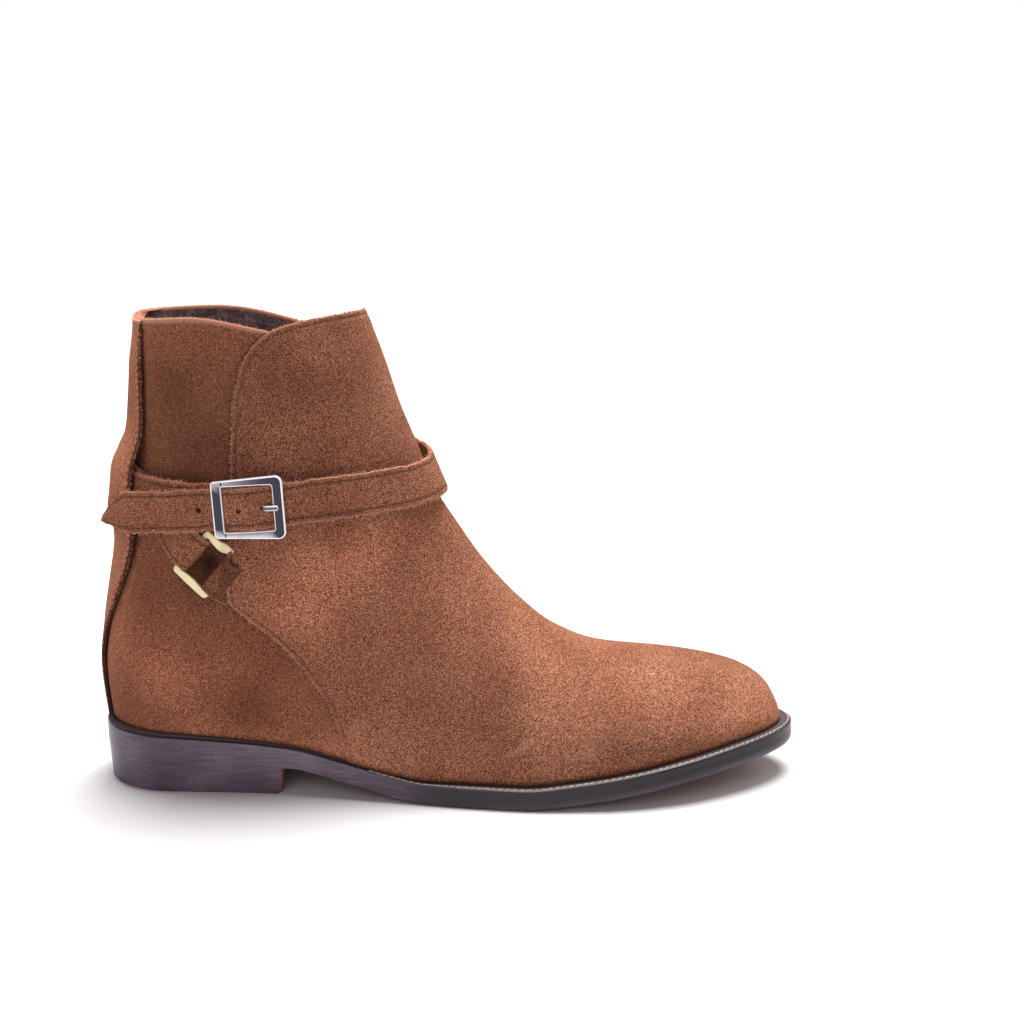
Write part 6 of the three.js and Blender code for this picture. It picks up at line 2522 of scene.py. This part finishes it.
def welt_threads():
    outline = sole_outline(WELT_GROOVE["inset"])
    nose = int(np.argmax(outline[:, 0]))
    ahead = outline[:, 0] > WELT_STITCH_START
    first = int(np.argmax(ahead))
    line = outline[first : nose + (nose - first) + 1]
    points = np.column_stack([line, welt_top(line[:, 0]) + 0.02])
    ups = np.tile([0.0, 0.0, 1.0], (len(points), 1))
    return stitch_row(points, ups, lean=0.2, dip=0.35, **WELT_THREAD)


thread_piece("flap_stitches", flap_threads(), DARK_THREAD, "suede_dark")
thread_piece(
    "strap_stitches",
    strap_threads(LONG_COURSE, 0.06, 1 - STRAP_POINT / LONG_COURSE.length)
    + strap_threads(BUCKLE_COURSE, 0.12, 0.95),
    DARK_THREAD,
    "suede_dark",
)
thread_piece("strip_stitches", strip_threads(), DARK_THREAD, "suede_dark")
thread_piece("collar_stitches", rim_threads(), LINING_THREAD, "lining")
thread_piece("welt_stitches", welt_threads(), PALE_THREAD, "sole_edge")

# Loose fibres along the cut edges
FIBRE_STATIONS = (0.0, 0.4, 0.75, 1.0)
FIBRE_TAPER = (1.0, 0.85, 0.55, 0.15)
FIBRE_SIDES = 3
FIBRE = {"radius": 0.15, "short": 0.5, "long": 1.5, "stray": 2.2, "strays": 0.04}
FIBRE_WAY = {"lean": 0.55, "sway": 0.4, "bend": 0.3, "sunk": 0.15}
FIBRES_PER_MM = {"lower": 2.4, "upper": 1.8, "flap": 2.2, "rim": 2.0}
EDGE_PLACES = 400
STRIP_PLACES = 200


def fibres(points, outs, per_mm, seed, size=1.0):
    """Tapered bent fibres set at random along a line; outs point away from the edge."""
    chance = np.random.default_rng(seed)
    points = np.asarray(points, float)
    outs = unit(np.asarray(outs, float))
    run = run_along(points)
    count = int(run[-1] * per_mm)
    at = chance.uniform(0, run[-1], count)
    tangents = unit(sampled(at, run, np.gradient(points, axis=0)))
    base = sampled(at, run, points)
    out = unit(sampled(at, run, outs))
    side = np.cross(tangents, out)
    lean = chance.normal(0, FIBRE_WAY["lean"], (count, 1)) * tangents
    lean = lean + chance.normal(0, FIBRE_WAY["sway"], (count, 1)) * side
    way = unit(out + lean)
    length = chance.uniform(FIBRE["short"], FIBRE["long"], count) * size
    stray = chance.uniform(0, 1, count) < FIBRE["strays"]
    length = np.where(stray, length * FIBRE["stray"], length)[:, None]
    bend = chance.normal(0, FIBRE_WAY["bend"], (count, 3))
    across = unit(np.cross(way, tangents + 0.01))
    other = np.cross(way, across)
    angles = full_turn(FIBRE_SIDES)
    loops = []
    for share, taper in zip(FIBRE_STATIONS, FIBRE_TAPER):
        centre = base - out * FIBRE_WAY["sunk"] + (way * share + bend * share**2) * length
        ring = np.cos(angles)[None, :, None] * across[:, None]
        ring = ring + np.sin(angles)[None, :, None] * other[:, None]
        loops.append(centre[:, None] + ring * FIBRE["radius"] * taper)
    return [loop_solid(fibre) for fibre in np.stack(loops, 1)]


def strap_fibres(course, first, last, seed):
    shares = np.linspace(first, last, EDGE_PLACES)
    inner = course.room(shares)
    parts = []
    for side, seeded in ((-1, seed), (1, seed + 1)):
        lines = []
        for reach in (0.0, 1.0):
            offset = np.full((EDGE_PLACES, 1), side * (STRAP_WIDTH / 2 + reach))
            points, _ = course.place(shares, offset, (inner + STRAP_THICKNESS * 0.6)[:, None])
            lines.append(points[:, 0])
        outs = lines[1] - lines[0]
        parts += fibres(lines[0], outs, FIBRES_PER_MM["lower" if side < 0 else "upper"], seeded)
    return parts


def flap_fibres():
    swell = relief_at(EDGE_LINE[:, 0], EDGE_LINE[:, 2], EDGE_LINE[:, 1]) + tab_lift(EDGE_LINE)
    line = EDGE_LINE + EDGE_NORMALS * (FLAP_PROUD * 0.7 + swell)[:, None]
    kept = line[:, 2] > feather(line[:, 0]) + 2
    outs = -EDGE_INWARD + EDGE_NORMALS * 0.5
    return fibres(line[kept], outs[kept], FIBRES_PER_MM["flap"], 31, 0.7)


def rim_fibres():
    angles = np.linspace(0, 2 * np.pi, EDGE_PLACES)
    share = np.ones(EDGE_PLACES)
    top = upper_place(share, angles, SHELL_TOP)
    normals = upper_normal(share - 0.02, angles, SHELL_TOP)
    line = top - normals * WALL / 2 + np.array([0, 0, WALL / 2])
    return fibres(line, np.array([0, 0, 1.0]) + normals * 0.3, FIBRES_PER_MM["rim"], 41, 0.5)


def strip_fibres():
    z = np.linspace(feather(0) + 4, COLLAR_HEIGHT - 4, STRIP_PLACES)
    parts = []
    for side in (-1, 1):
        (near, normal), _ = strip_places(z, np.array([side * 1.0]), np.array([0.8]), np.array([0.0]))
        (beyond, _), _ = strip_places(z, np.array([side * 1.06]), np.array([0.8]), np.array([0.0]))
        outs = (beyond - near)[:, 0] + normal[:, 0] * 0.8
        parts += fibres(near[:, 0], outs, FIBRES_PER_MM["rim"], 51 + side, 0.7)
    return parts


strap_fuzz = strap_fibres(LONG_COURSE, 0.05, 0.95, 11) + strap_fibres(BUCKLE_COURSE, 0.1, 0.93, 21)
thread_piece("strap_fuzz", strap_fuzz, FUZZ, "suede")
thread_piece("upper_fuzz", flap_fibres() + rim_fibres() + strip_fibres(), FUZZ, "suede")

# Camera at the photograph's place
CAMERA_PLACE = (0.152, -0.650, 0.249)
CAMERA_YAW = 1.4
CAMERA_PITCH = 11.65
CAMERA_SENSOR = 36
CAMERA_REACH = 50
PHOTO_FOCAL = 1553
PHOTO_SIZE = 1024
CAMERA_LENS = PHOTO_FOCAL * CAMERA_SENSOR / PHOTO_SIZE


def add_camera():
    data = bpy.data.cameras.new("camera")
    data.lens = CAMERA_LENS
    data.sensor_width = CAMERA_SENSOR
    data.clip_end = CAMERA_REACH
    camera = bpy.data.objects.new("camera", data)
    camera.location = CAMERA_PLACE
    camera.rotation_euler = (math.radians(90 - CAMERA_PITCH), 0, math.radians(CAMERA_YAW))
    bpy.context.scene.collection.objects.link(camera)
    bpy.context.scene.camera = camera


# Light: a soft room, with a dim zone behind the camera for the metal to mirror
ROOM_FRONT_TO_BACK = (
    (0.0, (0.03, 0.024, 0.032)),
    (0.3, (0.06, 0.044, 0.052)),
    (0.55, (0.16, 0.12, 0.13)),
    (1.0, (0.25, 0.19, 0.205)),
)
ROOM_LOW_TO_HIGH = ((0.0, (0.02, 0.012, 0.014)), (0.5, (0.09, 0.065, 0.07)), (1.0, (0.3, 0.26, 0.27)))
FLOOR_SHADE = 184
FLOOR_HALF = 6.0
SUNS = table(
    "name towards spread strength colour",
    ("overhead", (0.06, 0.26, 1.0), 36, 8.3, (1.0, 1.0, 1.0)),
    ("front", (-0.1, -1.0, 0.4), 60, 1.5, (1.0, 0.9, 0.94)),
    ("rim", (1.0, 0.45, 0.75), 40, 1.1, (1.0, 0.97, 0.94)),
)


def add_world():
    """White to the camera; a soft sky for the light, dim and faintly pink low behind the camera."""
    world = bpy.data.worlds.new("room")
    world.use_nodes = True
    tree = world.node_tree
    tree.nodes.clear()
    output = tree.nodes.new("ShaderNodeOutputWorld")
    direction = tree.nodes.new("ShaderNodeSeparateXYZ")
    coordinates = tree.nodes.new("ShaderNodeTexCoord")
    tree.links.new(coordinates.outputs["Generated"], direction.inputs[0])

    def ramp(value, low, high, *stops):
        spread = tree.nodes.new("ShaderNodeMapRange")
        spread.inputs["From Min"].default_value = low
        spread.inputs["From Max"].default_value = high
        tree.links.new(value, spread.inputs["Value"])
        node = tree.nodes.new("ShaderNodeValToRGB")
        tree.links.new(spread.outputs[0], node.inputs["Fac"])
        return set_stops(node, stops)

    around = ramp(direction.outputs["Y"], -1, 1, *ROOM_FRONT_TO_BACK)
    upward = ramp(direction.outputs["Z"], 0, 1, *ROOM_LOW_TO_HIGH)
    both = tree.nodes.new("ShaderNodeMix")
    both.data_type = "RGBA"
    both.blend_type = "ADD"
    both.inputs["Factor"].default_value = 1.0
    tree.links.new(around, both.inputs[6])
    tree.links.new(upward, both.inputs[7])
    seen = tree.nodes.new("ShaderNodeMix")
    seen.data_type = "RGBA"
    seen.inputs[7].default_value = (1.0, 1.0, 1.0, 1.0)
    tree.links.new(both.outputs[2], seen.inputs[6])
    tree.links.new(tree.nodes.new("ShaderNodeLightPath").outputs["Is Camera Ray"], seen.inputs["Factor"])
    background = tree.nodes.new("ShaderNodeBackground")
    tree.links.new(seen.outputs[2], background.inputs["Color"])
    tree.links.new(background.outputs[0], output.inputs["Surface"])
    bpy.context.scene.world = world


def add_sun(name, towards, spread, strength, colour):
    """A broad distant light; towards is the way from the boot to the light."""
    data = bpy.data.lights.new(name, "SUN")
    data.angle = math.radians(spread)
    data.energy = strength
    data.color = colour
    lamp = bpy.data.objects.new(name, data)
    aim = -unit(np.array(towards, float))
    lamp.rotation_euler = (
        math.atan2(math.hypot(aim[0], aim[1]), -aim[2]),
        0,
        math.atan2(aim[1], aim[0]) - math.pi / 2,
    )
    bpy.context.scene.collection.objects.link(lamp)


def add_floor():
    half = FLOOR_HALF
    corners = [(-half, -half, 0), (half, -half, 0), (half, half, 0), (-half, half, 0)]
    mesh = bpy.data.meshes.new("floor")
    mesh.from_pydata(corners, [], [(0, 1, 2, 3)])
    n = Nodes("floor_white")
    shade = linear(FLOOR_SHADE, FLOOR_SHADE, FLOOR_SHADE)
    mesh.materials.append(n.surface(Base_Color=shade, Roughness=0.6, Specular_IOR_Level=0.0))
    floor = bpy.data.objects.new("floor", mesh)
    bpy.context.scene.collection.objects.link(floor)


add_camera()
add_world()
for sun in SUNS:
    add_sun(**sun)
add_floor()

bpy.context.scene.view_settings.view_transform = "Standard"
